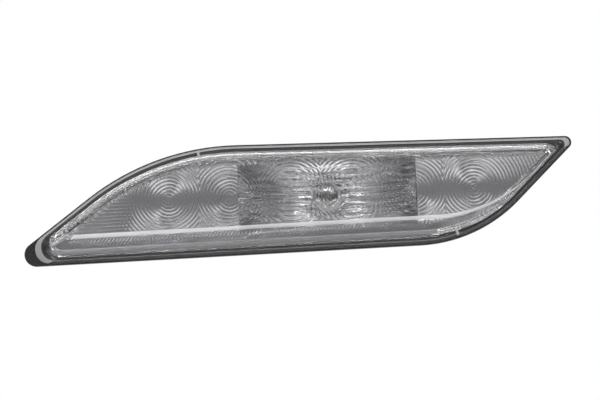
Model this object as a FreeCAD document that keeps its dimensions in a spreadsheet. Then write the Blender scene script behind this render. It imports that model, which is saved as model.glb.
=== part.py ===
import FreeCAD, Part
import math
import os
import Sketcher

# Reverse light: X along the lamp, Z up, the lens faces -Y, studs point to +Y.
# The origin is midway between the two studs, in the plane their shoulders press on.

doc = FreeCAD.newDocument("reverse_light")
sheet = doc.addObject("Spreadsheet::Sheet", "Sizes")

SIZES = {
    # rim outline, seen from the front: four straight sides and four rounded corners
    "top_rise": 33.4,
    "top_slope": 0.8,
    "bottom_drop": 30.45,
    "bottom_slope": 0.78,
    "left_reach": 132.3,
    "left_slope": 36.1,
    "right_reach": 133.8,
    "right_slope": 44.0,
    "left_bend": 145.0,
    "right_bend": 86.0,
    "left_tip": 7.0,
    "right_tip": 3.8,
    # how far a cutter runs past the face it cuts, and a piece into the one it is fused with
    "overrun": 1.0,
    # how far each layer stands in from the rim outline
    "rim_lip": 1.0,
    "lens_tip": 10.0,
    "inner_tip": 2.0,
    "flange_width": 3.0,
    "groove_inset": 1.5,
    "groove_width": 2.0,
    "groove_wall": 0.8,
    "tongue_gap": 0.5,
    "gasket_inset": 0.8,
    "gasket_gap": 0.3,
    "body_inset": 5.0,
    "body_wall": 2.2,
    "rib_inset": 2.0,
    "reflector_gap": 0.6,
    "lip_gap": 0.3,
    # depths along Y
    "rim_front": 22.0,
    "rim_thick": 4.0,
    "groove_depth": 2.0,
    "tongue_depth": 1.2,
    "gasket_thick": 3.0,
    "wing_back": 6.0,
    # lens
    "flange_thick": 2.6,
    "lens_rise": 9.5,
    "lens_wall": 2.6,
    "face_top_inset": 8.9,
    "face_bottom_inset": 16.0,
    "face_left_inset": 8.5,
    "face_right_inset": 5.4,
    "face_right_bend": 82.0,
    "face_tip": 2.4,
    "ring_first_x": -77.0,
    "ring_pitch_x": 35.9,
    "ring_z": 3.6,
    "ring_step": 5.4,
    "ring_height": 0.8,
    "ring_draft": 0.3,
    # reflector
    "lip_thick": 1.0,
    "plate_thick": 1.6,
    "bowl_x": 16.4,
    "bowl_top_margin": 11.4,
    "bowl_bottom_margin": 14.45,
    "bowl_width": 105.0,
    "bowl_focus": 24.0,
    "bowl_wall": 2.0,
    "holder_hole": 9.4,
    "post_radius": 4.0,
    # housing bulge round the bowl
    "bulge_gap": 0.8,
    "bulge_side_gap": 3.5,
    "bulge_back_gap": 3.1,
    "bulge_taper": 17.0,
    "bulge_chamfer": 5.0,
    "port_radius": 10.5,
    "collar_radius": 14.5,
    "collar_height": 3.0,
    "notch_radius": 12.6,
    "notch_width": 7.0,
    # fixings
    "stud_x": 104.0,
    "stud_z": 8.0,
    "stud_radius": 2.5,
    "stud_length": 16.0,
    "stud_root": 5.0,
    "stud_root_radius": 3.3,
    "boss_radius": 6.0,
    "screw_outer_margin": 4.3,
    "screw_outer_z": -13.0,
    "screw_middle_x": -66.0,
    "screw_middle_z": 5.0,
    "screw_right_margin": 5.8,
    "screw_right_z": 15.0,
    "screw_radius": 1.5,
    "screw_head_radius": 3.5,
    "screw_head_height": 2.4,
    "screw_length": 11.0,
    "seal_washer_radius": 4.2,
    "seal_washer_thick": 0.8,
    "rib_left_beyond": 7.7,
    "rib_middle_x": -84.0,
    "rib_right_margin": 19.8,
    "rib_thick": 1.8,
    "rib_height": 3.5,
    # breather
    "vent_x": -46.0,
    "vent_z": 12.0,
    "vent_radius": 4.5,
    "vent_bore": 2.5,
    "vent_height": 4.0,
    "membrane_thick": 0.4,
    "cap_wall": 1.4,
    "cap_lift": 0.8,
    "cap_slot": 2.0,
    "cap_foot_gap": 1.0,
    # bulb
    "light_centre": 20.6,
    "bulb_radius": 7.3,
    "bulb_length": 27.0,
    "glass_wall": 0.9,
    "glass_foot": 5.0,
    "wedge_width": 9.5,
    "wedge_thick": 2.2,
    "wedge_length": 8.6,
    "lead_radius": 0.3,
    "lead_spread": 2.6,
    "lead_fold_start": 2.0,
    "filament_radius": 0.5,
    # bulb holder, socket and contacts
    "spigot_radius": 8.6,
    "neck_radius": 10.2,
    "lug_radius": 12.2,
    "lug_width": 5.6,
    "lug_thick": 2.0,
    "lug_gap": 0.2,
    "holder_seal_thick": 1.6,
    "holder_flange_radius": 16.0,
    "holder_flange_thick": 2.4,
    "grip_radius": 12.0,
    "grip_length": 8.0,
    "grip_wing": 5.0,
    "grip_wing_thick": 4.0,
    "socket_width": 14.4,
    "socket_height": 8.4,
    "socket_wall": 1.8,
    "socket_depth": 14.0,
    "latch_width": 6.0,
    "latch_start": 4.0,
    "latch_length": 3.0,
    "latch_height": 1.8,
    "pocket_gap": 0.4,
    "contact_width": 2.8,
    "contact_thick": 0.8,
    "contact_spread": 2.6,
    "contact_start": 1.0,
    "blade_length": 8.0,
}

for row, (alias, number) in enumerate(SIZES.items(), start=1):
    sheet.set(f"A{row}", alias)
    sheet.set(f"B{row}", str(number))
    sheet.setAlias(f"B{row}", alias)
doc.recompute()


# A size is an expression on the sheet together with its present value
class Size:
    def __init__(self, text, value):
        self.text = text
        self.value = value

    def __add__(self, other):
        other = as_size(other)
        return Size(f"({self.text} + {other.text})", self.value + other.value)

    def __sub__(self, other):
        other = as_size(other)
        return Size(f"({self.text} - {other.text})", self.value - other.value)

    def __mul__(self, other):
        other = as_size(other)
        return Size(f"({self.text} * {other.text})", self.value * other.value)

    def __truediv__(self, other):
        other = as_size(other)
        return Size(f"({self.text} / {other.text})", self.value / other.value)

    def __neg__(self):
        return Size(f"(0 - {self.text})", -self.value)


def as_size(number):
    if isinstance(number, Size):
        return number
    return Size(f"({number})", float(number))


def size(alias):
    return Size(f"Sizes.{alias}", float(sheet.get(alias)))


def cosine(angle):
    return Size(f"cos({angle.text} * 1 deg)", math.cos(math.radians(angle.value)))


def sine(angle):
    return Size(f"sin({angle.text} * 1 deg)", math.sin(math.radians(angle.value)))


def root(number):
    return Size(f"sqrt({number.text})", math.sqrt(number.value))


def bind(target, path, length):
    target.setExpression(path, as_size(length).text)


# Places an object at sizes along X, Y and Z
def place(target, x=0, y=0, z=0, axis=None, angle=0):
    rotation = FreeCAD.Rotation()
    if axis:
        rotation = FreeCAD.Rotation(FreeCAD.Vector(*axis), angle)
    target.Placement = FreeCAD.Placement(FreeCAD.Vector(0, 0, 0), rotation)
    for letter, length in (("x", x), ("y", y), ("z", z)):
        bind(target, f"Placement.Base.{letter}", length)
    return target


# A round bar along Y
def bar(name, radius, y_start, length, x=0, z=0):
    made = doc.addObject("Part::Cylinder", name)
    bind(made, "Radius", radius)
    bind(made, "Height", length)
    return place(made, x, y_start, z, (1, 0, 0), -90)


# A block centred on X and Z, running back from y_start
def block(name, width, y_start, length, height, x=0, z=0):
    made = doc.addObject("Part::Box", name)
    bind(made, "Length", width)
    bind(made, "Width", length)
    bind(made, "Height", height)
    return place(made, as_size(x) - as_size(width) / 2, y_start, as_size(z) - as_size(height) / 2)


def fuse(name, shapes):
    made = doc.addObject("Part::MultiFuse", name)
    made.Shapes = shapes
    return made


def common(name, first, second):
    made = doc.addObject("Part::Common", name)
    made.Base = first
    made.Tool = second
    return made


# Takes one or more tools away from a shape
def cut(name, base, tools):
    made = doc.addObject("Part::Cut", name)
    made.Base = base
    made.Tool = tools[0] if len(tools) == 1 else fuse(name + "_tools", tools)
    return made


def loft(name, sections):
    made = doc.addObject("Part::Loft", name)
    made.Sections = sections
    made.Solid = True
    made.Ruled = True
    return made


# Copies of a shape at a list of places
def copies(name, make, places):
    return fuse(name, [make(f"{name}_{index}", x, z) for index, (x, z) in enumerate(places, start=1)])


# The leaf-shaped outline, set in from the rim on each side and drawn at a depth y
def leaf(name, y, insets, tips, bends):
    top_inset, bottom_inset, left_inset, right_inset = insets
    slopes = [size("bottom_slope"), size("right_slope"), as_size(180) - size("top_slope"),
              as_size(180) + size("left_slope")]
    reaches = [
        size("bottom_drop") * cosine(size("bottom_slope")) - bottom_inset,
        size("right_reach") * sine(size("right_slope")) - right_inset,
        size("top_rise") * cosine(size("top_slope")) - top_inset,
        size("left_reach") * sine(size("left_slope")) - left_inset,
    ]
    radii = [bends[1], tips[1], bends[0], tips[0]]
    sketch = doc.addObject("Sketcher::SketchObject", name)
    place(sketch, 0, y, 0, (1, 0, 0), 90)
    angles = [math.radians(slope.value) for slope in slopes]
    normals = [FreeCAD.Vector(math.sin(angle), -math.cos(angle), 0) for angle in angles]

    # the centre of the corner between one side and the next
    def corner(index):
        following = (index + 1) % 4
        radius = radii[index].value
        first = reaches[index].value - radius
        second = reaches[following].value - radius
        a, b = normals[index], normals[following]
        spread = a.x * b.y - a.y * b.x
        return FreeCAD.Vector((first * b.y - second * a.y) / spread, (second * a.x - first * b.x) / spread, 0)

    centres = [corner(index) for index in range(4)]
    lines = []
    arcs = []
    for index in range(4):
        before = (index - 1) % 4
        start = centres[before] + normals[index] * radii[before].value
        end = centres[index] + normals[index] * radii[index].value
        lines.append(sketch.addGeometry(Part.LineSegment(start, end)))
    for index in range(4):
        first = angles[index] - math.pi / 2
        second = angles[(index + 1) % 4] - math.pi / 2
        if second < first:
            second += 2 * math.pi
        circle = Part.Circle(centres[index], FreeCAD.Vector(0, 0, 1), radii[index].value)
        arcs.append(sketch.addGeometry(Part.ArcOfCircle(circle, first, second)))
    for index in range(4):
        sketch.addConstraint(Sketcher.Constraint("Tangent", lines[index], 2, arcs[index], 1))
        sketch.addConstraint(Sketcher.Constraint("Tangent", arcs[index], 2, lines[(index + 1) % 4], 1))
    signed = [slopes[0], slopes[1], slopes[2], slopes[3] - 360]
    for index in range(4):
        for kind, where, value in (
            ("Angle", (lines[index],), signed[index]),
            ("Distance", (-1, 1, lines[index]), reaches[index]),
            ("Radius", (arcs[index],), radii[index]),
        ):
            number = math.radians(value.value) if kind == "Angle" else value.value
            added = sketch.addConstraint(Sketcher.Constraint(kind, *where, number))
            bind(sketch, f"Constraints[{added}]", value)
    return sketch


# A leaf outline set in by the same amount on every side
def even_leaf(name, y, inset, left_tip, right_tip):
    inset = as_size(inset)
    bends = [size("left_bend") - inset, size("right_bend") - inset]
    return leaf(name, y, [inset] * 4, [left_tip, right_tip], bends)


# The same, for the layers behind the lens, whose left tips share the lens tip's centre
def inner_leaf(name, y, inset):
    return even_leaf(name, y, inset, size("lens_tip") + size("rim_lip") - inset, size("inner_tip"))


# A plate with the outline of a sketch, running back along +Y or another way
def plate(name, sketch, thick, way=(0, 1, 0)):
    made = doc.addObject("Part::Extrusion", name)
    made.Base = sketch
    made.DirMode = "Custom"
    made.Dir = FreeCAD.Vector(*way)
    made.Solid = True
    bind(made, "LengthFwd", thick)
    return made


# A rectangle with its corners cut off, seen from the front and drawn at a depth y
def cut_rectangle(name, y, width, height, chamfer):
    sketch = doc.addObject("Sketcher::SketchObject", name)
    place(sketch, bowl_x, y, bowl_z, (1, 0, 0), 90)
    half_width = as_size(width) / 2
    half_height = as_size(height) / 2
    short_width = half_width - chamfer
    short_height = half_height - chamfer
    draw(sketch, [(-short_width, -half_height), (short_width, -half_height), (half_width, -short_height),
                  (half_width, short_height), (short_width, half_height), (-short_width, half_height),
                  (-half_width, short_height), (-half_width, -short_height)])
    return sketch


# Draws a closed outline of straight lines, every corner tied to its two sizes
def draw(sketch, corners):
    count = len(corners)
    points = [FreeCAD.Vector(across.value, along.value, 0) for across, along in corners]
    for index in range(count):
        sketch.addGeometry(Part.LineSegment(points[index], points[(index + 1) % count]))
    for index in range(count):
        sketch.addConstraint(Sketcher.Constraint("Coincident", index, 2, (index + 1) % count, 1))
    for index, (across, along) in enumerate(corners):
        for kind, value in (("DistanceX", across), ("DistanceY", along)):
            added = sketch.addConstraint(Sketcher.Constraint(kind, -1, 1, index, 1, value.value))
            bind(sketch, f"Constraints[{added}]", value)


# A turned solid: pairs of radius and depth, spun round an axis along Y
def turned(name, corners, x=0, z=0):
    sketch = doc.addObject("Sketcher::SketchObject", name + "_profile")
    draw(sketch, [(as_size(radius), as_size(depth)) for radius, depth in corners])
    made = doc.addObject("Part::Revolution", name)
    made.Source = sketch
    made.Axis = FreeCAD.Vector(0, 1, 0)
    made.Base = FreeCAD.Vector(0, 0, 0)
    made.Angle = 360
    made.Solid = True
    return place(made, x, 0, z)


overrun = size("overrun")

# Depths shared by several pieces
rim_y = -size("rim_front")
rim_back_y = rim_y + size("rim_thick")
wing_y = -size("wing_back")
wing_inner_y = wing_y - size("body_wall")
flange_y = rim_y - size("flange_thick")
face_y = flange_y - size("lens_rise")
face_inner_y = face_y + size("lens_wall")
plate_back_y = rim_y + size("plate_thick")
bowl_top = size("top_rise") - size("bowl_top_margin")
bowl_bottom = size("bowl_bottom_margin") - size("bottom_drop")
bowl_height = bowl_top - bowl_bottom
bowl_x = size("bowl_x")
bowl_z = (bowl_top + bowl_bottom) / 2
half_bowl = size("bowl_width") / 2
bowl_depth = half_bowl * half_bowl / (size("bowl_focus") * 4)
vertex_y = rim_y + bowl_depth
bulge_inner_y = vertex_y + size("bowl_wall") + size("bulge_back_gap")
bulge_y = bulge_inner_y + size("body_wall")
collar_y = bulge_y + size("collar_height")
body_inner = size("body_inset") + size("body_wall")
groove_inner = size("groove_inset") + size("groove_width")
rebate_inset = groove_inner + size("groove_wall")

# Places seen from the front, as pairs of X and Z
stud_left_at = (-size("stud_x"), -size("stud_z"))
stud_right_at = (size("stud_x"), size("stud_z"))
screw_places = [
    (size("screw_outer_margin") - size("left_reach"), size("screw_outer_z")),
    (size("screw_middle_x"), size("screw_middle_z")),
    (size("right_reach") - size("screw_right_margin"), size("screw_right_z")),
]
rib_places = [-size("left_reach") - size("rib_left_beyond"), size("rib_middle_x"),
              size("right_reach") - size("rib_right_margin")]

# Housing: rim, tub and bulge, all hollow
rim = plate("rim", even_leaf("rim_outline", rim_y, 0, size("left_tip"), size("right_tip")), size("rim_thick"))
tub = plate("tub", inner_leaf("tub_outline", rim_back_y - overrun, size("body_inset")),
            wing_y - rim_back_y + overrun)
cavity = plate("cavity", inner_leaf("cavity_outline", rim_y - overrun, body_inner),
               wing_inner_y - rim_y + overrun)
rebate = plate("rebate", inner_leaf("rebate_outline", rim_y - overrun, rebate_inset),
               size("lip_thick") + overrun)
# The hollow clears the bowl's back, and the bulge is one wall larger all round
bowl_at_wing = root((vertex_y + size("bowl_wall") - wing_inner_y) * size("bowl_focus") * 4)
hollow_width = (bowl_at_wing + size("bulge_side_gap")) * 2
hollow_height = bowl_height + (size("bowl_wall") + size("bulge_gap")) * 2
taper_per_depth = size("bulge_taper") / (bulge_inner_y - wing_inner_y)
# A wall of even thickness behind a 45 degree cut has its own cut shorter by this share of the wall
cut_share = 2 - math.sqrt(2)


# A block that tapers along X towards its back, with its long edges and back edges cut off
def tapered_block(name, front, back, width, height, chamfer):
    shoulder = back - chamfer
    shoulder_width = width - taper_per_depth * (shoulder - front) * 2
    end_width = width - taper_per_depth * (back - front) * 2
    return loft(name, [
        cut_rectangle(name + "_root", front, width, height, chamfer),
        cut_rectangle(name + "_shoulder", shoulder, shoulder_width, height, chamfer),
        cut_rectangle(name + "_end", back, end_width - chamfer * 2, height - chamfer * 2, chamfer / 2),
    ])


twice_wall = size("body_wall") * 2
bulge = tapered_block("bulge", wing_inner_y, bulge_y, hollow_width + twice_wall, hollow_height + twice_wall,
                      size("bulge_chamfer"))
hollow = tapered_block("hollow", wing_inner_y - overrun, bulge_inner_y, hollow_width, hollow_height,
                       size("bulge_chamfer") - size("body_wall") * cut_share)

groove = cut("groove", plate("groove_outer", inner_leaf("groove_outer_outline", rim_y, size("groove_inset")),
                             size("groove_depth")),
             [plate("groove_inner", inner_leaf("groove_inner_outline", rim_y, groove_inner),
                    size("groove_depth"))])
collar = bar("collar", size("collar_radius"), bulge_inner_y, size("body_wall") + size("collar_height"),
             bowl_x, bowl_z)
port_start = bulge_inner_y - overrun
port_length = size("body_wall") + size("collar_height") + overrun * 2
port = bar("port", size("port_radius"), port_start, port_length, bowl_x, bowl_z)


# Three slots that let the holder's lugs through the port, turned by an angle
def three_arms(name, radius, width, y_start, length, turn):
    arms = []
    for index in range(3):
        arm = doc.addObject("Part::Box", f"{name}_{index + 1}")
        bind(arm, "Length", radius)
        bind(arm, "Width", length)
        bind(arm, "Height", width)
        angle = math.radians(120 * index + turn)
        arm.Placement = FreeCAD.Placement(FreeCAD.Vector(), FreeCAD.Rotation(FreeCAD.Vector(0, 1, 0),
                                                                             -math.degrees(angle)))
        half = as_size(width) / 2
        bind(arm, "Placement.Base.x", bowl_x + half * math.sin(angle))
        bind(arm, "Placement.Base.y", y_start)
        bind(arm, "Placement.Base.z", bowl_z - half * math.cos(angle))
        arms.append(arm)
    ring = bar(name + "_limit", radius, y_start, length, bowl_x, bowl_z)
    return common(name, fuse(name + "_arms", arms), ring)


notches = three_arms("notches", size("notch_radius"), size("notch_width"), port_start, port_length, 90)
bosses = copies("stud_bosses", lambda name, x, z: bar(name, size("boss_radius"), wing_inner_y,
                                                      size("body_wall") + size("wing_back"), x, z),
                [stud_left_at, stud_right_at])
stud_holes = copies("stud_holes", lambda name, x, z: bar(name, size("stud_root_radius"), -size("stud_root"),
                                                         size("stud_root") + overrun, x, z),
                    [stud_left_at, stud_right_at])
screw_holes = copies("screw_holes", lambda name, x, z: bar(name, size("screw_radius"), wing_inner_y - overrun,
                                                           size("body_wall") + overrun * 2, x, z), screw_places)
vent_tube = bar("vent_tube", size("vent_radius"), wing_inner_y, size("body_wall") + size("vent_height"),
                size("vent_x"), size("vent_z"))
vent_hole = bar("vent_hole", size("vent_bore"), wing_inner_y - overrun,
                size("body_wall") + size("vent_height") + overrun * 2, size("vent_x"), size("vent_z"))
rib_blocks = [block(f"rib_{index}", size("rib_thick"), wing_y - overrun, size("rib_height") + overrun,
                    size("top_rise") * 4, x, 0)
              for index, x in enumerate(rib_places, start=1)]
rib_limit = plate("rib_limit", inner_leaf("rib_limit_outline", wing_inner_y,
                                          size("body_inset") + size("rib_inset")),
                  size("body_wall") + size("rib_height"))
ribs = common("ribs", fuse("rib_blocks", rib_blocks), rib_limit)
shell = fuse("shell", [rim, tub, bulge])
shell_hollow = cut("shell_hollow", shell, [cavity, hollow, groove, rebate])
shell_with_bosses = fuse("shell_with_bosses", [shell_hollow, collar, bosses, vent_tube, ribs])
housing = cut("housing", shell_with_bosses, [port, notches, stud_holes, screw_holes, vent_hole])

# Sealant bead: fills the groove round the lens tongue
tongue_outer_inset = size("groove_inset") + size("tongue_gap")
tongue_inner_inset = groove_inner - size("tongue_gap")
tongue = cut("tongue", plate("tongue_outer", inner_leaf("tongue_outer_outline", rim_y - overrun,
                                                        tongue_outer_inset), size("tongue_depth") + overrun),
             [plate("tongue_inner", inner_leaf("tongue_inner_outline", rim_y - overrun, tongue_inner_inset),
                    size("tongue_depth") + overrun)])
lens_seal = cut("lens_seal", groove, [tongue])

# Bumper gasket: a foam ring behind the rim
gasket_outline = even_leaf("gasket_outline", rim_back_y, size("gasket_inset"),
                           size("left_tip") - size("gasket_inset"), size("right_tip") - size("gasket_inset"))
bumper_gasket = cut("bumper_gasket", plate("gasket_outer", gasket_outline, size("gasket_thick")),
                    [plate("gasket_inner", inner_leaf("gasket_inner_outline", rim_back_y - overrun,
                                                      size("body_inset") - size("gasket_gap")),
                           size("gasket_thick") + overrun * 2)])

# Outer lens: flange, raised face, hollow inside, ring optics on the inner face
base_inset = size("rim_lip") + size("flange_width")
face_insets = [size("face_top_inset"), size("face_bottom_inset"), size("face_left_inset"),
               size("face_right_inset")]
inner_share = (size("lens_rise") - size("lens_wall")) / size("lens_rise")
inner_insets = [base_inset + (inset - base_inset) * inner_share + size("lens_wall") for inset in face_insets]
flange = plate("flange", even_leaf("flange_outline", flange_y, size("rim_lip"), size("lens_tip"),
                                   size("right_tip") - size("rim_lip")), size("flange_thick"))
lens_base = inner_leaf("lens_base", flange_y, base_inset)
lens_face = leaf("lens_face", face_y, face_insets, [size("face_tip"), size("face_tip")],
                 [size("left_bend") - size("face_left_inset"), size("face_right_bend")])
lens_root = plate("lens_root", lens_base, size("flange_thick") / 2)
lens_block = fuse("lens_block", [flange, lens_root, loft("lens_rise_block", [lens_base, lens_face])])
hollow_base_inset = base_inset + size("lens_wall")
hollow_base = inner_leaf("hollow_base", flange_y, hollow_base_inset)
hollow_face = leaf("hollow_face", face_inner_y, inner_insets, [size("face_tip") / 2, size("face_tip") / 2],
                   [size("left_bend") - size("face_left_inset") - size("lens_wall"),
                    size("face_right_bend") - size("lens_wall")])
lens_hollow = fuse("lens_hollow", [loft("lens_hollow_rise", [hollow_base, hollow_face]),
                                   plate("lens_hollow_root", hollow_base, size("flange_thick") + overrun)])
ring_count = 2
cell_count = 6


# One cell of ring optics: a dome and ring steps that thin outwards
def ring_cell(name, x, z):
    step = size("ring_step")
    foot = face_inner_y - size("lens_wall") / 4
    crest = face_inner_y + size("ring_height")
    corners = [(0, foot), (step * (ring_count + 1), foot), (step * (ring_count + 1), face_inner_y)]
    for index in range(ring_count, 0, -1):
        corners.append((step * index + size("ring_draft"), crest))
        corners.append((step * index, face_inner_y))
    corners.append((0, crest))
    return turned(name, corners, x, z)


cell_places = [(size("ring_first_x") + size("ring_pitch_x") * index, size("ring_z"))
               for index in range(cell_count)]
ring_cells = copies("ring_cells", ring_cell, cell_places)
outer_lens = cut("outer_lens", fuse("lens_with_tongue", [lens_block, tongue]),
                 [cut("lens_hollow_with_rings", lens_hollow, [ring_cells])])

# Reflector: a plate whose lip lies in the housing's rebate, with a deep stepped bowl and three posts
reflector_lip = plate("reflector_lip", inner_leaf("lip_outline", rim_y, rebate_inset + size("lip_gap")),
                      size("lip_thick"))
reflector_plate = plate("reflector_plate", inner_leaf("reflector_outline", rim_y,
                                                      body_inner + size("reflector_gap")), size("plate_thick"))
chord_count = 4
step_count = 5
strip_height = bowl_height / step_count


# The space in front of a parabola, as one strip of the bowl; strips step forward away from the bulb
def parabola_strip(name, strip, half_width, shift, overlap):
    low = bowl_bottom + strip_height * strip - overlap
    off_axis = strip_height * (strip + 0.5) - bowl_height / 2
    sketch = doc.addObject("Sketcher::SketchObject", name + "_outline")
    front = rim_y - bowl_depth / 2
    corners = [(half_width, front), (-half_width, front)]
    for index in range(-chord_count, chord_count + 1):
        x = half_width * index / chord_count
        corners.append((x, vertex_y + shift - (x * x + off_axis * off_axis) / (size("bowl_focus") * 4)))
    draw(sketch, corners)
    place(sketch, bowl_x, 0, low)
    return plate(name, sketch, strip_height + as_size(overlap) * 2, (0, 0, 1))


def parabola_space(name, half_width, shift, overlap):
    return fuse(name, [parabola_strip(f"{name}_{strip + 1}", strip, half_width, shift, overlap)
                       for strip in range(step_count)])


bowl_back = common("bowl_back", parabola_space("bowl_back_space", half_bowl + size("bowl_wall"),
                                               size("bowl_wall"), size("bowl_wall")),
                   block("bowl_back_limit", size("bowl_width") + size("bowl_wall") * 2, rim_y,
                         bowl_depth + size("bowl_wall") * 2, bowl_height + size("bowl_wall") * 2,
                         bowl_x, bowl_z))
bowl_space = parabola_space("bowl_space", half_bowl, 0, 0)
posts = copies("posts", lambda name, x, z: bar(name, size("post_radius"), rim_y + size("plate_thick") / 2,
                                               wing_inner_y - rim_y - size("plate_thick") / 2, x, z),
               screw_places)
post_holes = copies("post_holes", lambda name, x, z: bar(name, size("screw_radius"),
                                                         wing_y + size("seal_washer_thick") - size("screw_length"),
                                                         size("screw_length") + overrun, x, z), screw_places)
bulb_way = bar("bulb_way", size("holder_hole"), vertex_y - size("holder_hole"), size("holder_hole") * 2,
               bowl_x, bowl_z)
reflector = cut("reflector", fuse("reflector_solid", [reflector_lip, reflector_plate, bowl_back, posts]),
                [bowl_space, post_holes, bulb_way])


# Reflector screws with their sealing washers
def screw(name, x, z):
    under = wing_y + size("seal_washer_thick")
    top = under + size("screw_head_height")
    return turned(name, [(0, under - size("screw_length")), (size("screw_radius"), under - size("screw_length")),
                         (size("screw_radius"), under), (size("screw_head_radius"), under),
                         (size("screw_head_radius"), top), (0, top)], x, z)


def screw_seal(name, x, z):
    under = wing_y + size("seal_washer_thick")
    return turned(name, [(size("screw_radius"), wing_y), (size("seal_washer_radius"), wing_y),
                         (size("seal_washer_radius"), under), (size("screw_radius"), under)], x, z)


reflector_screws = copies("reflector_screws", screw, screw_places)
screw_seals = copies("screw_seals", screw_seal, screw_places)


# A threaded stud, moulded into its boss by a thicker root
def stud(name, at):
    radius = size("stud_radius")
    length = size("stud_length")
    return turned(name, [(0, -size("stud_root")), (size("stud_root_radius"), -size("stud_root")),
                         (size("stud_root_radius"), as_size(0)), (radius, as_size(0)), (radius, length),
                         (0, length)], at[0], at[1])


stud_left = stud("stud_left", stud_left_at)
stud_right = stud("stud_right", stud_right_at)

# Breather: a membrane on the tube and a cap over it
membrane_y = wing_y + size("vent_height")
vent_membrane = turned("vent_membrane", [(0, membrane_y), (size("vent_radius"), membrane_y),
                                         (size("vent_radius"), membrane_y + size("membrane_thick")),
                                         (0, membrane_y + size("membrane_thick"))],
                       size("vent_x"), size("vent_z"))
cap_inner_y = membrane_y + size("membrane_thick") + size("cap_lift")
cap_outer = size("vent_radius") + size("cap_wall")
cap_foot_y = wing_y + size("cap_foot_gap")
cap_cup = turned("cap_cup", [(size("vent_radius"), cap_foot_y), (cap_outer, cap_foot_y),
                             (cap_outer, cap_inner_y + size("cap_wall")),
                             (0, cap_inner_y + size("cap_wall")), (0, cap_inner_y),
                             (size("vent_radius"), cap_inner_y)], size("vent_x"), size("vent_z"))
cap_slots = fuse("cap_slots", [
    block("cap_slot_along", (cap_outer + overrun) * 2, membrane_y + size("membrane_thick"), size("cap_lift"),
          size("cap_slot"), size("vent_x"), size("vent_z")),
    block("cap_slot_up", size("cap_slot"), membrane_y + size("membrane_thick"), size("cap_lift"),
          (cap_outer + overrun) * 2, size("vent_x"), size("vent_z")),
])
vent_cap = cut("vent_cap", cap_cup, [cap_slots])

# Bulb: a hollow glass envelope on a flat wedge, leads and filament
focus_y = vertex_y - size("bowl_focus")
seat_y = focus_y + size("light_centre")
bulb_tip_y = seat_y - size("bulb_length")
dome_y = bulb_tip_y + size("bulb_radius")
floor_y = seat_y - size("glass_foot")


# A round-ended glass form: the dome as a run of short cones, the tube, and a closing end
def glass_form(name, radius, dome_chords, ends):
    corners = []
    for index in range(dome_chords + 1):
        angle = math.radians(90 * index / dome_chords)
        corners.append((radius * math.sin(angle), dome_y - radius * math.cos(angle)))
    return turned(name, corners + ends, bowl_x, bowl_z)


glass_outer = glass_form("glass_outer", size("bulb_radius"), 2,
                         [(size("bulb_radius"), seat_y), (0, seat_y)])
inner_radius = size("bulb_radius") - size("glass_wall")
glass_inner = glass_form("glass_inner", inner_radius, 1, [(inner_radius, floor_y), (0, floor_y)])
wedge = block("wedge", size("wedge_width"), seat_y - overrun, size("wedge_length") + overrun,
              size("wedge_thick"), bowl_x, bowl_z)
wedge_end_y = seat_y + size("wedge_length")


# A lead runs from the filament through the glass, then folds onto one wedge face
def lead(name, side):
    x = bowl_x + size("lead_spread") * side
    face_z = bowl_z + (size("wedge_thick") / 2 + size("lead_radius")) * side
    rise = bar(name + "_rise", size("lead_radius"), focus_y, wedge_end_y - focus_y + size("lead_radius"),
               x, bowl_z)
    fold = bar(name + "_fold", size("lead_radius"), seat_y + size("lead_fold_start"),
               size("wedge_length") - size("lead_fold_start") + size("lead_radius"), x, face_z)
    bridge = block(name + "_bridge", size("lead_radius") * 2, wedge_end_y, size("lead_radius") * 2,
                   size("wedge_thick") / 2 + size("lead_radius"), x,
                   bowl_z + (size("wedge_thick") / 4 + size("lead_radius") / 2) * side)
    return fuse(name, [rise, fold, bridge])


bulb_lead_wires = fuse("bulb_lead_wires", [lead("lead_left", -1), lead("lead_right", 1)])
filament_length = size("lead_spread") * 2 - size("lead_radius") * 2
bulb_filament = doc.addObject("Part::Cylinder", "bulb_filament")
bind(bulb_filament, "Radius", size("filament_radius"))
bind(bulb_filament, "Height", filament_length)
place(bulb_filament, bowl_x - filament_length / 2, focus_y + size("filament_radius"), bowl_z, (0, 1, 0), 90)
lead_slots = copies("lead_slots", lambda name, x, z: bar(name, size("lead_radius"), focus_y,
                                                         wedge_end_y - focus_y + overrun, x, z),
                    [(bowl_x - size("lead_spread"), bowl_z), (bowl_x + size("lead_spread"), bowl_z)])
bulb_envelope = cut("bulb_envelope", fuse("glass_body", [glass_outer, wedge]),
                    [glass_inner, lead_slots])

# Bulb holder: spigot with lugs, flange, grip and plug socket
lug_y = bulge_inner_y - size("lug_gap") - size("lug_thick")
holder_flange_y = collar_y + size("holder_seal_thick")
grip_y = holder_flange_y + size("holder_flange_thick")
socket_y = grip_y + size("grip_length")
socket_end_y = socket_y + size("socket_depth")
socket_floor_y = socket_end_y - size("socket_depth")
holder_turned = turned("holder_turned", [
    (0, seat_y), (size("spigot_radius"), seat_y), (size("spigot_radius"), lug_y),
    (size("neck_radius"), lug_y), (size("neck_radius"), holder_flange_y),
    (size("holder_flange_radius"), holder_flange_y), (size("holder_flange_radius"), grip_y),
    (size("grip_radius"), grip_y), (size("grip_radius"), socket_y), (0, socket_y)], bowl_x, bowl_z)
lugs = three_arms("lugs", size("lug_radius"), size("lug_width"), lug_y, size("lug_thick"), 30)
grip_wings = block("grip_wings", size("grip_radius") * 2 + size("grip_wing"), grip_y, size("grip_length"),
                   size("grip_wing_thick"), bowl_x, bowl_z)
socket_outer = block("socket_outer", size("socket_width") + size("socket_wall") * 2, socket_y - overrun,
                     size("socket_depth") + overrun, size("socket_height") + size("socket_wall") * 2,
                     bowl_x, bowl_z)
latch_bar = block("latch_bar", size("latch_width"), socket_y + size("latch_start"), size("latch_length"),
                  size("latch_height") * 2, bowl_x, bowl_z + size("socket_height") / 2 + size("socket_wall"))
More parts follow.
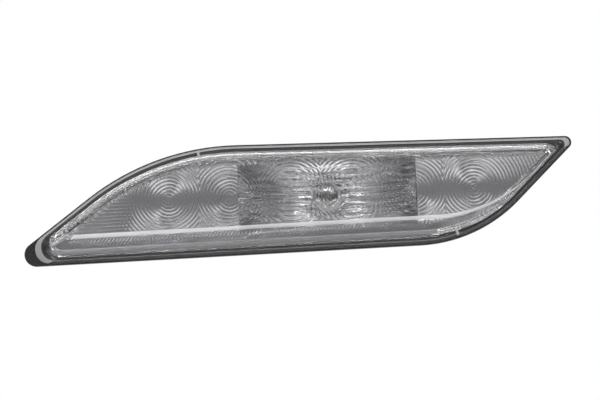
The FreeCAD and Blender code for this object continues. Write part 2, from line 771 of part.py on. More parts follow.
socket_space = block("socket_space", size("socket_width"), socket_floor_y, size("socket_depth") + overrun,
                     size("socket_height"), bowl_x, bowl_z)
leaf_near = size("wedge_thick") / 2 + size("lead_radius") * 2
leaf_far = leaf_near + size("contact_thick")
wedge_pocket = block("wedge_pocket", size("wedge_width") + size("pocket_gap"), seat_y - overrun,
                     size("wedge_length") + size("lead_radius") * 2 + size("pocket_gap") / 2 + overrun,
                     leaf_far * 2, bowl_x, bowl_z)


# A contact: one straight blade that lies on a lead and comes out in the socket
def contact(name, side, grow):
    z = bowl_z + (leaf_near + size("contact_thick") / 2) * side
    x = bowl_x + size("contact_spread") * side
    start = seat_y + size("contact_start")
    return block(name, size("contact_width"), start, socket_floor_y + size("blade_length") - start + grow,
                 size("contact_thick"), x, z)


contact_left = contact("contact_left", -1, 0)
contact_right = contact("contact_right", 1, 0)
bulb_holder = cut("bulb_holder", fuse("holder_solid", [holder_turned, lugs, grip_wings, socket_outer, latch_bar]),
                  [socket_space, wedge_pocket, contact("contact_way_left", -1, overrun),
                   contact("contact_way_right", 1, overrun)])
holder_seal = turned("holder_seal", [(size("neck_radius"), collar_y), (size("collar_radius"), collar_y),
                                     (size("collar_radius"), holder_flange_y),
                                     (size("neck_radius"), holder_flange_y)], bowl_x, bowl_z)

doc.recompute()

SUBPARTS = {
    "outer_lens": outer_lens,
    "lens_seal": lens_seal,
    "housing": housing,
    "bumper_gasket": bumper_gasket,
    "reflector": reflector,
    "reflector_screws": reflector_screws,
    "screw_seals": screw_seals,
    "stud_left": stud_left,
    "stud_right": stud_right,
    "vent_membrane": vent_membrane,
    "vent_cap": vent_cap,
    "bulb_envelope": bulb_envelope,
    "bulb_filament": bulb_filament,
    "bulb_lead_wires": bulb_lead_wires,
    "bulb_holder": bulb_holder,
    "holder_seal": holder_seal,
    "contact_left": contact_left,
    "contact_right": contact_right,
}

for made in doc.Objects:
    if "Invalid" in made.State or "Error" in made.State:
        raise RuntimeError(f"{made.Name} did not build: {made.State}")

os.makedirs("parts", exist_ok=True)
for node, made in SUBPARTS.items():
    made.Label = node
    if made.Shape.isNull() or not made.Shape.isValid() or made.Shape.Volume <= 0:
        raise RuntimeError(f"{node} is not a valid solid")
    print(node, "solids", len(made.Shape.Solids), "volume", round(made.Shape.Volume, 1))
    made.Shape.exportStep(f"parts/{node}.step")
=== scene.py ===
# %% [markdown]
# # A reverse light, dressed in Blender
# The lamp is a long leaf-shaped box: a black housing, a grey metallised reflector with one bulb in a bowl,
# and a clear lens whose inner face carries rings that spread the light.
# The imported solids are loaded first. They fix every size, and each new piece is drawn where its solid is.

import math

import bmesh
import bpy
import numpy as np
from mathutils import Matrix, Vector


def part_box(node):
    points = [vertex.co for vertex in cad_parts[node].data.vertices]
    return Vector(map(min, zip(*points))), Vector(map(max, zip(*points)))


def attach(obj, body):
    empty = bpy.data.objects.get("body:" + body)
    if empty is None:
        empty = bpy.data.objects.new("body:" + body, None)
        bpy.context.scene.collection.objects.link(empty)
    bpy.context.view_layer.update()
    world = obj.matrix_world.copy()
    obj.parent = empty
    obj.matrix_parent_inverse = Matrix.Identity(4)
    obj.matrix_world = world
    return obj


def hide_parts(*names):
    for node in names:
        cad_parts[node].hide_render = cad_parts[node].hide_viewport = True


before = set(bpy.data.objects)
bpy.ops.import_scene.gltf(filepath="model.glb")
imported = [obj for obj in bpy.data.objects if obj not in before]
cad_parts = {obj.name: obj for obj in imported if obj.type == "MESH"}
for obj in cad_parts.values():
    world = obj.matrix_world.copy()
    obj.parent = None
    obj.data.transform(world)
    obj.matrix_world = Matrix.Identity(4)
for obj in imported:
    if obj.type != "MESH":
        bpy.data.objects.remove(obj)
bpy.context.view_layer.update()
bpy.ops.object.select_all(action="DESELECT")
MM = 0.001
print("nodes:", sorted(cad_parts))

# %% [markdown]
# ## The camera
# The photograph is taken from almost straight ahead and a little below, with a long lens, and the lamp's
# right end is raised by a small turn of the picture. The camera looks at the middle of the rim. Its focal
# length is worked out from its distance and from the width that the picture has to show.

# %% Camera
VIEW_WIDTH = 351.6 * MM
CAMERA_DISTANCE = 1.6
CAMERA_ELEVATION = math.radians(-5)
CAMERA_ROLL = math.radians(2.4)
SENSOR_WIDTH = 36
rim_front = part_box("housing")[0][1]
target = Vector((0, rim_front, 0))
sight = Vector((0, -math.cos(CAMERA_ELEVATION), math.sin(CAMERA_ELEVATION)))
bpy.ops.object.camera_add(location=target + sight * CAMERA_DISTANCE)
camera = bpy.context.object
camera.name = "photo_camera"
camera.data.sensor_width = SENSOR_WIDTH
camera.data.lens = SENSOR_WIDTH * CAMERA_DISTANCE / VIEW_WIDTH
facing = (-sight).to_track_quat("-Z", "Y").to_matrix()
camera.rotation_euler = (facing @ Matrix.Rotation(-CAMERA_ROLL, 3, "Z")).to_euler()
bpy.context.scene.camera = camera
print("camera focal length:", round(camera.data.lens, 1), "mm")

# %% [markdown]
# ## Light and background
# The photograph has a white background and no shadow. A clear lens over a mirror shows mostly the room round
# it, and one even level would make it dull, so the room has light and dark bands by height. The half behind
# the lamp is even. Only the camera's own rays see plain white.

# %% World
# Each band has a height, from 0 for straight down to 1 for straight up, and a level
ROOM_BANDS = ((0.0, 0.4), (0.40, 0.6), (0.45, 0.26), (0.565, 0.24), (0.6, 1.15), (0.70, 0.9), (0.76, 0.26),
              (1.0, 0.26))
ROOM_GREEN = 0.985
BEHIND_LEVEL, BEHIND_START, BEHIND_FULL = 0.75, -0.05, 0.15


# Links pairs of sockets in a node tree
def link_all(tree, pairs):
    for source, sink in pairs:
        tree.links.new(source, sink)


scene = bpy.context.scene
scene.view_settings.view_transform = "Standard"
world = bpy.data.worlds.new("studio")
scene.world = world
world.use_nodes = True
nodes = world.node_tree.nodes
nodes.clear()
world_out = nodes.new("ShaderNodeOutputWorld")
mix_world = nodes.new("ShaderNodeMixShader")
room = nodes.new("ShaderNodeBackground")
white = nodes.new("ShaderNodeBackground")
white.inputs["Color"].default_value = (1, 1, 1, 1)
rays = nodes.new("ShaderNodeLightPath")
direction = nodes.new("ShaderNodeTexCoord")
split = nodes.new("ShaderNodeSeparateXYZ")
height = nodes.new("ShaderNodeMapRange")
height.inputs["From Min"].default_value = -1
bands = nodes.new("ShaderNodeValToRGB")
stops = bands.color_ramp.elements
# A new ramp already has two stops
for index, (position, level) in enumerate(ROOM_BANDS):
    stop = stops[index] if index < 2 else stops.new(position)
    stop.position = position
    stop.color = (level, level * ROOM_GREEN, level, 1)
behind = nodes.new("ShaderNodeMapRange")
behind.inputs["From Min"].default_value = BEHIND_START
behind.inputs["From Max"].default_value = BEHIND_FULL
tone = nodes.new("ShaderNodeMix")
tone.data_type = "RGBA"
tone.inputs["B"].default_value = (BEHIND_LEVEL, BEHIND_LEVEL, BEHIND_LEVEL, 1)
link_all(world.node_tree, (
    (direction.outputs["Generated"], split.inputs[0]),
    (split.outputs["Z"], height.inputs["Value"]),
    (split.outputs["Y"], behind.inputs["Value"]),
    (height.outputs["Result"], bands.inputs["Fac"]),
    (behind.outputs["Result"], tone.inputs["Factor"]),
    (bands.outputs["Color"], tone.inputs["A"]),
    (tone.outputs["Result"], room.inputs["Color"]),
    (rays.outputs["Is Camera Ray"], mix_world.inputs["Fac"]),
    (room.outputs[0], mix_world.inputs[1]),
    (white.outputs[0], mix_world.inputs[2]),
    (mix_world.outputs[0], world_out.inputs["Surface"]),
))
print("room bands:", len(ROOM_BANDS))

# %% [markdown]
# Three soft lamps add to the room: a long one above the lens, a weak one below it, and a large one behind for
# the back of the lamp. The floor lies far below, so that the lamp seems to hang free, as in the photograph.

# %% Lamps and floor
FLOOR_SIZE, FLOOR_LEVEL = 12, -1.1


# A soft lamp at a place, turned to the lens, in metres and watts
def soft_lamp(name, place, width, height, power):
    bpy.ops.object.light_add(type="AREA", location=place)
    lamp = bpy.context.object
    lamp.name = name
    lamp.data.shape = "RECTANGLE"
    lamp.data.size = width
    lamp.data.size_y = height
    lamp.data.energy = power
    lamp.rotation_euler = (target - Vector(place)).to_track_quat("-Z", "Y").to_euler()


soft_lamp("lamp_above", place=(0, -0.75, 0.6), width=1.4, height=0.12, power=6.5)
soft_lamp("lamp_below", place=(0.1, -0.80, -0.36), width=1.2, height=0.1, power=1)
soft_lamp("lamp_behind", place=(-0.4, 1.6, 1.5), width=1.8, height=1.4, power=12)

bpy.ops.object.select_all(action="DESELECT")
bpy.ops.mesh.primitive_plane_add(size=FLOOR_SIZE, location=(0, 0, FLOOR_LEVEL))
floor = bpy.context.object
floor.name = "floor"
print("floor at", FLOOR_LEVEL, "m")

# %% [markdown]
# ## Finishes
# No real surface is quite even. One node group gives every finish its small unevenness: a slow drift of
# colour, a fine grain for roughness and a height for the bump. It is built once, and each material places it
# with its own scales and its own two colours.

# %% Shared unevenness group
DRIFT_DETAIL, GRAIN_DETAIL = 3, 4
GRAIN_INPUTS = {
    "Vector": "NodeSocketVector", "Light": "NodeSocketColor", "Dark": "NodeSocketColor",
    "Drift Scale": "NodeSocketFloat", "Grain Scale": "NodeSocketFloat",
    "Rough Low": "NodeSocketFloat", "Rough High": "NodeSocketFloat",
}
GRAIN_OUTPUTS = {"Color": "NodeSocketColor", "Roughness": "NodeSocketFloat", "Height": "NodeSocketFloat"}


# A node group with named sockets, and its two end nodes
def new_group(name, inputs, outputs):
    group = bpy.data.node_groups.new(name, "ShaderNodeTree")
    for socket_name, kind in inputs.items():
        group.interface.new_socket(socket_name, in_out="INPUT", socket_type=kind)
    for socket_name, kind in outputs.items():
        group.interface.new_socket(socket_name, in_out="OUTPUT", socket_type=kind)
    return group, group.nodes.new("NodeGroupInput"), group.nodes.new("NodeGroupOutput")


grain_group, group_in, group_out = new_group("surface grain", GRAIN_INPUTS, GRAIN_OUTPUTS)
drift = grain_group.nodes.new("ShaderNodeTexNoise")
drift.inputs["Detail"].default_value = DRIFT_DETAIL
grain = grain_group.nodes.new("ShaderNodeTexNoise")
grain.inputs["Detail"].default_value = GRAIN_DETAIL
tint = grain_group.nodes.new("ShaderNodeMix")
tint.data_type = "RGBA"
rough = grain_group.nodes.new("ShaderNodeMapRange")
link_all(grain_group, (
    (group_in.outputs["Vector"], drift.inputs["Vector"]),
    (group_in.outputs["Vector"], grain.inputs["Vector"]),
    (group_in.outputs["Drift Scale"], drift.inputs["Scale"]),
    (group_in.outputs["Grain Scale"], grain.inputs["Scale"]),
    (drift.outputs["Fac"], tint.inputs["Factor"]),
    (group_in.outputs["Dark"], tint.inputs["A"]),
    (group_in.outputs["Light"], tint.inputs["B"]),
    (grain.outputs["Fac"], rough.inputs["Value"]),
    (group_in.outputs["Rough Low"], rough.inputs["To Min"]),
    (group_in.outputs["Rough High"], rough.inputs["To Max"]),
    (tint.outputs["Result"], group_out.inputs["Color"]),
    (rough.outputs["Result"], group_out.inputs["Roughness"]),
    (grain.outputs["Fac"], group_out.inputs["Height"]),
))
print("grain group nodes:", len(grain_group.nodes))

# %% [markdown]
# Every material is made by the same function, so that they differ only in their values: two close colours,
# a range of roughness, the scales of drift and grain, a bump in metres, and plain values of the shader.

# %% Finish helper
BUMP_STRENGTH = 0.6


def finish(name, dark, light, rough, drift=40, grain=900, bump=0.0, **plain):
    material = bpy.data.materials.new(name)
    material.use_nodes = True
    tree = material.node_tree
    shader = tree.nodes["Principled BSDF"]
    place = tree.nodes.new("ShaderNodeTexCoord")
    uneven = tree.nodes.new("ShaderNodeGroup")
    uneven.node_tree = grain_group
    uneven.inputs["Dark"].default_value = (*dark, 1)
    uneven.inputs["Light"].default_value = (*light, 1)
    uneven.inputs["Drift Scale"].default_value = drift
    uneven.inputs["Grain Scale"].default_value = grain
    uneven.inputs["Rough Low"].default_value, uneven.inputs["Rough High"].default_value = rough
    tree.links.new(place.outputs["Object"], uneven.inputs["Vector"])
    tree.links.new(uneven.outputs["Color"], shader.inputs["Base Color"])
    tree.links.new(uneven.outputs["Roughness"], shader.inputs["Roughness"])
    if bump:
        relief = tree.nodes.new("ShaderNodeBump")
        relief.inputs["Strength"].default_value = BUMP_STRENGTH
        relief.inputs["Distance"].default_value = bump
        tree.links.new(uneven.outputs["Height"], relief.inputs["Height"])
        tree.links.new(relief.outputs["Normal"], shader.inputs["Normal"])
    for socket_name, value in plain.items():
        shader.inputs[socket_name.replace("_", " ")].default_value = value
    return material


# Gives a piece one finish
def coat(piece, material):
    piece.data.materials.clear()
    piece.data.materials.append(material)


print("bump strength:", BUMP_STRENGTH)

# %% [markdown]
# ## Ring optics
# The lens spreads the bulb's light with fine rings in six cells. The mesh of the lens has these rings as low
# waves. A bump of the same rings, steeper away from each cell's centre, sharpens them where the mesh is too
# coarse. It works on the inner face only and fades out in the left tip, where the lens has small pillows.

# %% Ring optics group
RING_FIRST_X, RING_CELL_WIDTH, RING_Z, RING_PITCH = -77.0, 35.9, 3.6, 2.0
RING_SLOPE, RING_MIDDLE_SHARE, RING_CELLS = 0.31, 0.2, 6
RING_TIP_REACH, RING_TIP_FADE = 18.0, 20.0
RING_AMPLITUDE = RING_SLOPE * RING_PITCH / math.pi
FACE_FRONT, FACE_BACK, FACE_TEST = -34.1, -31.5, 1.0
# The wave node's phase runs twenty times as fast as its coordinate
WAVE_FACTOR = 20


# A maths node with its second value
def math_node(tree, operation, second=None):
    node = tree.nodes.new("ShaderNodeMath")
    node.operation = operation
    if second is not None:
        node.inputs[1].default_value = second
    return node


ring_group, ring_in, ring_out = new_group("ring optics", {"Vector": "NodeSocketVector"},
                                          {"Height": "NodeSocketFloat"})
from_first = ring_group.nodes.new("ShaderNodeVectorMath")
from_first.operation = "SUBTRACT"
from_first.inputs[1].default_value = (RING_FIRST_X * MM, FACE_BACK * MM, RING_Z * MM)
apart = ring_group.nodes.new("ShaderNodeSeparateXYZ")
in_cells = math_node(ring_group, "DIVIDE", RING_CELL_WIDTH * MM)
whole_cells = math_node(ring_group, "ROUND")
cell_number = ring_group.nodes.new("ShaderNodeClamp")
cell_number.inputs["Max"].default_value = RING_CELLS - 1
cell_middle = math_node(ring_group, "MULTIPLY", RING_CELL_WIDTH * MM)
across_cell = math_node(ring_group, "SUBTRACT")
flat = ring_group.nodes.new("ShaderNodeCombineXYZ")
wave = ring_group.nodes.new("ShaderNodeTexWave")
wave.wave_type = "RINGS"
wave.rings_direction = "Y"
wave.wave_profile = "SIN"
wave.inputs["Scale"].default_value = 2 * math.pi / (WAVE_FACTOR * RING_PITCH * MM)
reach = ring_group.nodes.new("ShaderNodeVectorMath")
reach.operation = "LENGTH"
steep = ring_group.nodes.new("ShaderNodeMapRange")
steep.inputs["From Max"].default_value = RING_CELL_WIDTH / 2 * MM
steep.inputs["To Min"].default_value = RING_MIDDLE_SHARE * RING_AMPLITUDE * MM
steep.inputs["To Max"].default_value = RING_AMPLITUDE * MM
on_face = math_node(ring_group, "COMPARE", 0)
on_face.inputs[2].default_value = FACE_TEST * MM
past_tip = ring_group.nodes.new("ShaderNodeMapRange")
past_tip.inputs["From Min"].default_value = -(RING_TIP_REACH + RING_TIP_FADE) * MM
past_tip.inputs["From Max"].default_value = -RING_TIP_REACH * MM
rings, masked, kept = (math_node(ring_group, "MULTIPLY") for _ in range(3))
link_all(ring_group, (
    (ring_in.outputs["Vector"], from_first.inputs[0]),
    (from_first.outputs["Vector"], apart.inputs[0]),
    (apart.outputs["X"], in_cells.inputs[0]),
    (in_cells.outputs["Value"], whole_cells.inputs[0]),
    (whole_cells.outputs["Value"], cell_number.inputs["Value"]),
    (cell_number.outputs["Result"], cell_middle.inputs[0]),
    (apart.outputs["X"], across_cell.inputs[0]),
    (cell_middle.outputs["Value"], across_cell.inputs[1]),
    (across_cell.outputs["Value"], flat.inputs["X"]),
    (apart.outputs["Z"], flat.inputs["Z"]),
    (flat.outputs["Vector"], wave.inputs["Vector"]),
    (flat.outputs["Vector"], reach.inputs[0]),
    (reach.outputs["Value"], steep.inputs["Value"]),
    (apart.outputs["Y"], on_face.inputs[0]),
    (apart.outputs["X"], past_tip.inputs["Value"]),
    (wave.outputs["Fac"], rings.inputs[0]),
    (steep.outputs["Result"], rings.inputs[1]),
    (rings.outputs["Value"], masked.inputs[0]),
    (on_face.outputs["Value"], masked.inputs[1]),
    (masked.outputs["Value"], kept.inputs[0]),
    (past_tip.outputs["Result"], kept.inputs[1]),
    (kept.outputs["Value"], ring_out.inputs["Height"]),
))
print("ring group nodes:", len(ring_group.nodes))

# %% [markdown]
# ## Clear pieces
# Clear plastic and glass throw almost no shadow on what is behind them. In a render they would, so shadow
# rays pass straight through. The lens has four finishes: clear plastic with the rings, a satin bead along
# its lower edge, a frosted slope on the upper flange, and flutes on its walls. The bead's pale colour and the
# slope's pale grey are painted highlights, and the flutes' greyer tint is painted shade.

# %% Clear finishes
PLASTIC_IOR, GLASS_IOR = 1.49, 1.5


# Gives a clear finish its ring optics
def add_rings(material):
    tree = material.node_tree
    place = tree.nodes.new("ShaderNodeTexCoord")
    ring_node = tree.nodes.new("ShaderNodeGroup")
    ring_node.node_tree = ring_group
    relief = tree.nodes.new("ShaderNodeBump")
    relief.inputs["Distance"].default_value = 1
    tree.links.new(place.outputs["Object"], ring_node.inputs["Vector"])
    tree.links.new(ring_node.outputs["Height"], relief.inputs["Height"])
    tree.links.new(relief.outputs["Normal"], tree.nodes["Principled BSDF"].inputs["Normal"])


# Lets lamp light through a clear piece, so that what is behind it is lit
def let_light_through(material):
    tree = material.node_tree
    clear = tree.nodes.new("ShaderNodeBsdfTransparent")
    path = tree.nodes.new("ShaderNodeLightPath")
    blend = tree.nodes.new("ShaderNodeMixShader")
    link_all(tree, (
        (path.outputs["Is Shadow Ray"], blend.inputs["Fac"]),
        (tree.nodes["Principled BSDF"].outputs["BSDF"], blend.inputs[1]),
        (clear.outputs["BSDF"], blend.inputs[2]),
        (blend.outputs["Shader"], tree.nodes["Material Output"].inputs["Surface"]),
    ))


clear_lens = finish("clear_lens", dark=(0.96, 0.96, 0.965), light=(1, 1, 1), rough=(0.02, 0.05),
                    drift=30, grain=400, Transmission_Weight=1.0, IOR=PLASTIC_IOR)
# Satin bead: its pale colour is a painted highlight along the lower and right edges
bead_painted_highlight = finish("bead_painted_highlight", dark=(0.86, 0.87, 0.88), light=(0.97, 0.98, 0.98), rough=(0.35, 0.5),
                   drift=60, grain=700, Transmission_Weight=0.45, IOR=PLASTIC_IOR)
# Flutes: the same clear plastic, with a grey tint that is painted shade
flutes_painted_shade = finish("flutes_painted_shade", dark=(0.68, 0.68, 0.69), light=(0.8, 0.8, 0.81), rough=(0.03, 0.08),
                     drift=45, grain=500, Transmission_Weight=1.0, IOR=PLASTIC_IOR)
# Frosted flange slope: its pale grey is a painted highlight of the light from above
frost_painted_highlight = finish("frost_painted_highlight", dark=(0.4, 0.4, 0.41), light=(0.66, 0.66, 0.67), rough=(0.25, 0.45),
                      drift=90, grain=700, Transmission_Weight=0.4, IOR=PLASTIC_IOR)
bulb_glass = finish("bulb_glass", dark=(0.97, 0.97, 0.97), light=(1, 1, 1), rough=(0.0, 0.02),
                    drift=60, grain=500, Transmission_Weight=1.0, IOR=GLASS_IOR)
clear_finishes = (clear_lens, bead_painted_highlight, flutes_painted_shade, frost_painted_highlight, bulb_glass)
for material in clear_finishes:
    let_light_through(material)
add_rings(clear_lens)
print("clear finishes:", len(clear_finishes))

# %% [markdown]
# ## Solid pieces
# The reflector is bright metal on plastic. The housing is black and a little glossy, the foam and the seals
# are dull, and the fasteners are zinc-plated steel. Each solid gets its finish here. Those that a dressed
# piece replaces later are hidden, and the others show as they are.

# %% Solid finishes
metallised = finish("metallised", dark=(0.62, 0.625, 0.635), light=(0.70, 0.705, 0.71), rough=(0.04, 0.08),
                    drift=60, grain=900, Metallic=1.0)
black_plastic = finish("black_plastic", dark=(0.011, 0.011, 0.012), light=(0.02, 0.02, 0.022),
                       rough=(0.22, 0.34), drift=50, grain=1600, bump=0.04 * MM)
sealant_black = finish("sealant_black", dark=(0.02, 0.02, 0.02), light=(0.035, 0.035, 0.035),
                       rough=(0.5, 0.7), drift=60, grain=700, bump=0.1 * MM)
foam = finish("foam", dark=(0.02, 0.02, 0.021), light=(0.05, 0.05, 0.052), rough=(0.85, 0.98),
              drift=120, grain=1500, bump=0.3 * MM)
zinc_plate = finish("zinc_plate", dark=(0.5, 0.49, 0.46), light=(0.64, 0.63, 0.6), rough=(0.25, 0.42),
                    drift=80, grain=1500, Metallic=1.0)
tungsten = finish("tungsten", dark=(0.25, 0.25, 0.26), light=(0.36, 0.36, 0.37), rough=(0.35, 0.5),
                  drift=300, grain=3000, Metallic=1.0)
holder_grey = finish("holder_grey", dark=(0.28, 0.28, 0.285), light=(0.34, 0.34, 0.345), rough=(0.45, 0.6),
                     drift=60, grain=1800, bump=0.06 * MM)
seal_rubber = finish("seal_rubber", dark=(0.012, 0.012, 0.012), light=(0.025, 0.025, 0.025),
                     rough=(0.6, 0.75), drift=80, grain=900, bump=0.05 * MM)
tinned_brass = finish("tinned_brass", dark=(0.62, 0.52, 0.33), light=(0.74, 0.66, 0.48), rough=(0.25, 0.4),
                      drift=150, grain=2200, Metallic=1.0)
membrane_white = finish("membrane_white", dark=(0.74, 0.74, 0.72), light=(0.86, 0.86, 0.84),
                        rough=(0.8, 0.95), drift=200, grain=3000, bump=0.05 * MM)
cap_black = finish("cap_black", dark=(0.02, 0.02, 0.021), light=(0.04, 0.04, 0.042), rough=(0.5, 0.65),
                   drift=70, grain=1800, bump=0.05 * MM)
FINISH_OF = {
    "outer_lens": clear_lens, "lens_seal": sealant_black, "housing": black_plastic, "bumper_gasket": foam,
    "reflector": metallised, "reflector_screws": zinc_plate, "screw_seals": seal_rubber,
    "stud_left": zinc_plate, "stud_right": zinc_plate, "vent_membrane": membrane_white, "vent_cap": cap_black,
    "bulb_envelope": bulb_glass, "bulb_filament": tungsten, "bulb_lead_wires": tungsten,
    "bulb_holder": holder_grey, "holder_seal": seal_rubber, "contact_left": tinned_brass,
    "contact_right": tinned_brass,
}
for node_name, material in FINISH_OF.items():
    coat(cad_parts[node_name], material)
print("finishes:", len(FINISH_OF))

# %% [markdown]
# The floor shows nearly white to the camera, so that it has no edge against the background, and it still
# takes a faint shadow. A share of plain light is mixed in for the camera's own rays only.

# %% Floor finish
FLOOR_GLOW = 0.85
floor_white = finish("floor_white", dark=(0.84, 0.84, 0.84), light=(0.88, 0.88, 0.88), rough=(0.7, 0.8),
                     drift=2, grain=30)
coat(floor, floor_white)
floor_tree = floor_white.node_tree
floor_light = floor_tree.nodes.new("ShaderNodeEmission")
floor_blend = floor_tree.nodes.new("ShaderNodeMixShader")
floor_share = math_node(floor_tree, "MULTIPLY", FLOOR_GLOW)
floor_rays = floor_tree.nodes.new("ShaderNodeLightPath")
link_all(floor_tree, (
    (floor_rays.outputs["Is Camera Ray"], floor_share.inputs[0]),
    (floor_share.outputs["Value"], floor_blend.inputs["Fac"]),
    (floor_tree.nodes["Principled BSDF"].outputs["BSDF"], floor_blend.inputs[1]),
    (floor_light.outputs["Emission"], floor_blend.inputs[2]),
    (floor_blend.outputs["Shader"], floor_tree.nodes["Material Output"].inputs["Surface"]),
))
print("floor glow:", FLOOR_GLOW)

# %% [markdown]
# ## The leaf outline
# Every layer of the lamp follows one leaf: four straight sides joined by four arcs. A layer is given by how
# far it stands in from the rim on each side and by its four corner radii. A place on a leaf is one number
# from 0 to 8: even stretches are the sides, odd stretches are the arcs, going round from the lower side.

# %% Leaf outline in millimetres
SIDES, PLACES = 4, 8
RIGHT_TIP_ARC, LEFT_TIP_ARC = 3, 7
LOWER_RISE, RIGHT_LEAN, UPPER_FALL, LEFT_LEAN = 0.78, 44.0, 0.8, 36.1
LOWER_DROP, RIGHT_REACH, TOP_RISE, LEFT_REACH = 30.45, 133.8, 33.4, 132.3
LOWER_RADIUS, UPPER_RADIUS = 86, 145
EDGE_SAMPLES = 6000
SIDE_HEADING = np.radians([LOWER_RISE, RIGHT_LEAN, 180 - UPPER_FALL, 180 + LEFT_LEAN])
SIDE_REACH = np.array([LOWER_DROP * math.cos(math.radians(LOWER_RISE)),
                       RIGHT_REACH * math.sin(math.radians(RIGHT_LEAN)),
                       TOP_RISE * math.cos(math.radians(UPPER_FALL)),
                       LEFT_REACH * math.sin(math.radians(LEFT_LEAN))])
SIDE_NORMAL = np.stack([np.sin(SIDE_HEADING), -np.cos(SIDE_HEADING)], axis=1)
LEFTMOST = LEFT_TIP_ARC + (90 - LEFT_LEAN) / (180 + LOWER_RISE - LEFT_LEAN)
RIGHTMOST = RIGHT_TIP_ARC + (90 - RIGHT_LEAN) / (180 - UPPER_FALL - RIGHT_LEAN)


# A layer: insets of the lower, right, upper and left sides, and radii of the corners that follow them
def layer(insets, radii):
    return np.array(insets, float), np.array(radii, float)


# A layer with the same inset on every side
def even_layer(inset, right_tip, left_tip):
    return layer([inset] * SIDES, [LOWER_RADIUS - inset, right_tip, UPPER_RADIUS - inset, left_tip])


# A layer part of the way from one to another
def between(first, second, share):
    return tuple(a + (b - a) * share for a, b in zip(first, second))


# Centres of a layer's four arcs, each where the two sides beside it, moved in by its radius, cross
def arc_centres(outline):
    insets, radii = outline
    reach = SIDE_REACH - insets
    centres = []
    for side in range(SIDES):
        after = (side + 1) % SIDES
        a, b = SIDE_NORMAL[side], SIDE_NORMAL[after]
        first, second = reach[side] - radii[side], reach[after] - radii[side]
        spread = a[0] * b[1] - a[1] * b[0]
        centres.append([(first * b[1] - second * a[1]) / spread, (second * a[0] - first * b[0]) / spread])
    return np.array(centres)


# Points of a layer, for an array of places from 0 to 8
def leaf_points(place, outline):
    radii = outline[1]
    centres = arc_centres(outline)
    place = np.mod(place, PLACES)
    points = np.zeros((len(place), 2))
    for side in range(SIDES):
        before = (side - 1) % SIDES
        start = centres[before] + SIDE_NORMAL[side] * radii[before]
        end = centres[side] + SIDE_NORMAL[side] * radii[side]
        on_line = (place >= 2 * side) & (place < 2 * side + 1)
        points[on_line] = start + (end - start) * (place[on_line] - 2 * side)[:, None]
        on_arc = (place >= 2 * side + 1) & (place < 2 * side + 2)
        turn = np.mod(SIDE_HEADING[(side + 1) % SIDES] - SIDE_HEADING[side], 2 * math.pi)
        heading = SIDE_HEADING[side] + turn * (place[on_arc] - 2 * side - 1)
        outward = np.stack([np.sin(heading), -np.cos(heading)], axis=1)
        points[on_arc] = centres[side] + radii[side] * outward
    return points


# Lower and upper edges of a layer at given X, with their places on the leaf
def leaf_edges(x, outline):
    lower_place = np.linspace(LEFTMOST, RIGHTMOST + PLACES, EDGE_SAMPLES)
    upper_place = np.linspace(LEFTMOST, RIGHTMOST, EDGE_SAMPLES)
    lower = leaf_points(lower_place, outline)
    upper = leaf_points(upper_place, outline)
    return (np.interp(x, lower[:, 0], lower[:, 1]), np.interp(x, lower[:, 0], lower_place),
            np.interp(x, upper[:, 0], upper[:, 1]), np.interp(x, upper[:, 0], upper_place))


RIM = even_layer(0, right_tip=3.8, left_tip=7)
rim_points = leaf_points(np.linspace(0, PLACES, EDGE_SAMPLES), RIM)
print("rim outline:", np.round(np.ptp(rim_points, axis=0), 1), "mm")

# %% [markdown]
# ## The outer lens
# The lens is one clear moulding. A fine grid makes its inner face, where six cells of rings stand side by
# side. Its edge is then extruded loop by loop: down the fluted inner wall, across the back of the flange, up
# the outer wall and over the rounded edge, until the flat front closes it. Each point of the edge remembers
# its place on the leaf, so every new loop can be laid on another layer without twisting.

# %% Lens layers and helpers
LENS_FLANGE = even_layer(1.0, right_tip=2.8, left_tip=8.4)
LENS_BASE = even_layer(4.0, right_tip=2.0, left_tip=7.0)
LENS_FACE = layer(insets=[16.0, 5.4, 8.9, 8.5], radii=[82.0, 2.4, 136.5, 2.4])
HOLLOW_BASE = even_layer(6.6, right_tip=2.0, left_tip=4.4)
HOLLOW_FACE = layer(insets=[15.32, 7.62, 10.16, 9.87], radii=[79.4, 1.2, 133.9, 1.2])
RING_CENTRES = RING_FIRST_X + RING_CELL_WIDTH * np.arange(RING_CELLS)
RING_HEIGHT, RING_FULL, RING_LOW, PILLOW_SHARE = 0.17, 9.0, 0.25, 0.3
TOOTH_STEPS = 5
END_TEST = 0.001


# Height of the ring steps on the inner face; the left tip beyond the rings has small square pillows
def ring_height(x, z):
    nearest = RING_CENTRES[np.argmin(np.abs(x[:, None] - RING_CENTRES[None, :]), axis=1)]
    radius = np.hypot(x - nearest, z - RING_Z)
    per_pitch = 2 * math.pi / RING_PITCH
    rings = (0.5 - 0.5 * np.cos(per_pitch * radius)) * np.clip(radius / RING_FULL, RING_LOW, 1)
    pillows = PILLOW_SHARE * (2 - np.cos(per_pitch * x) - np.cos(per_pitch * z))
    ring_share = np.clip((x - RING_CENTRES[0] + RING_TIP_REACH) / RING_TIP_FADE + 1, 0, 1)
    return RING_HEIGHT * (pillows + (rings - pillows) * ring_share)


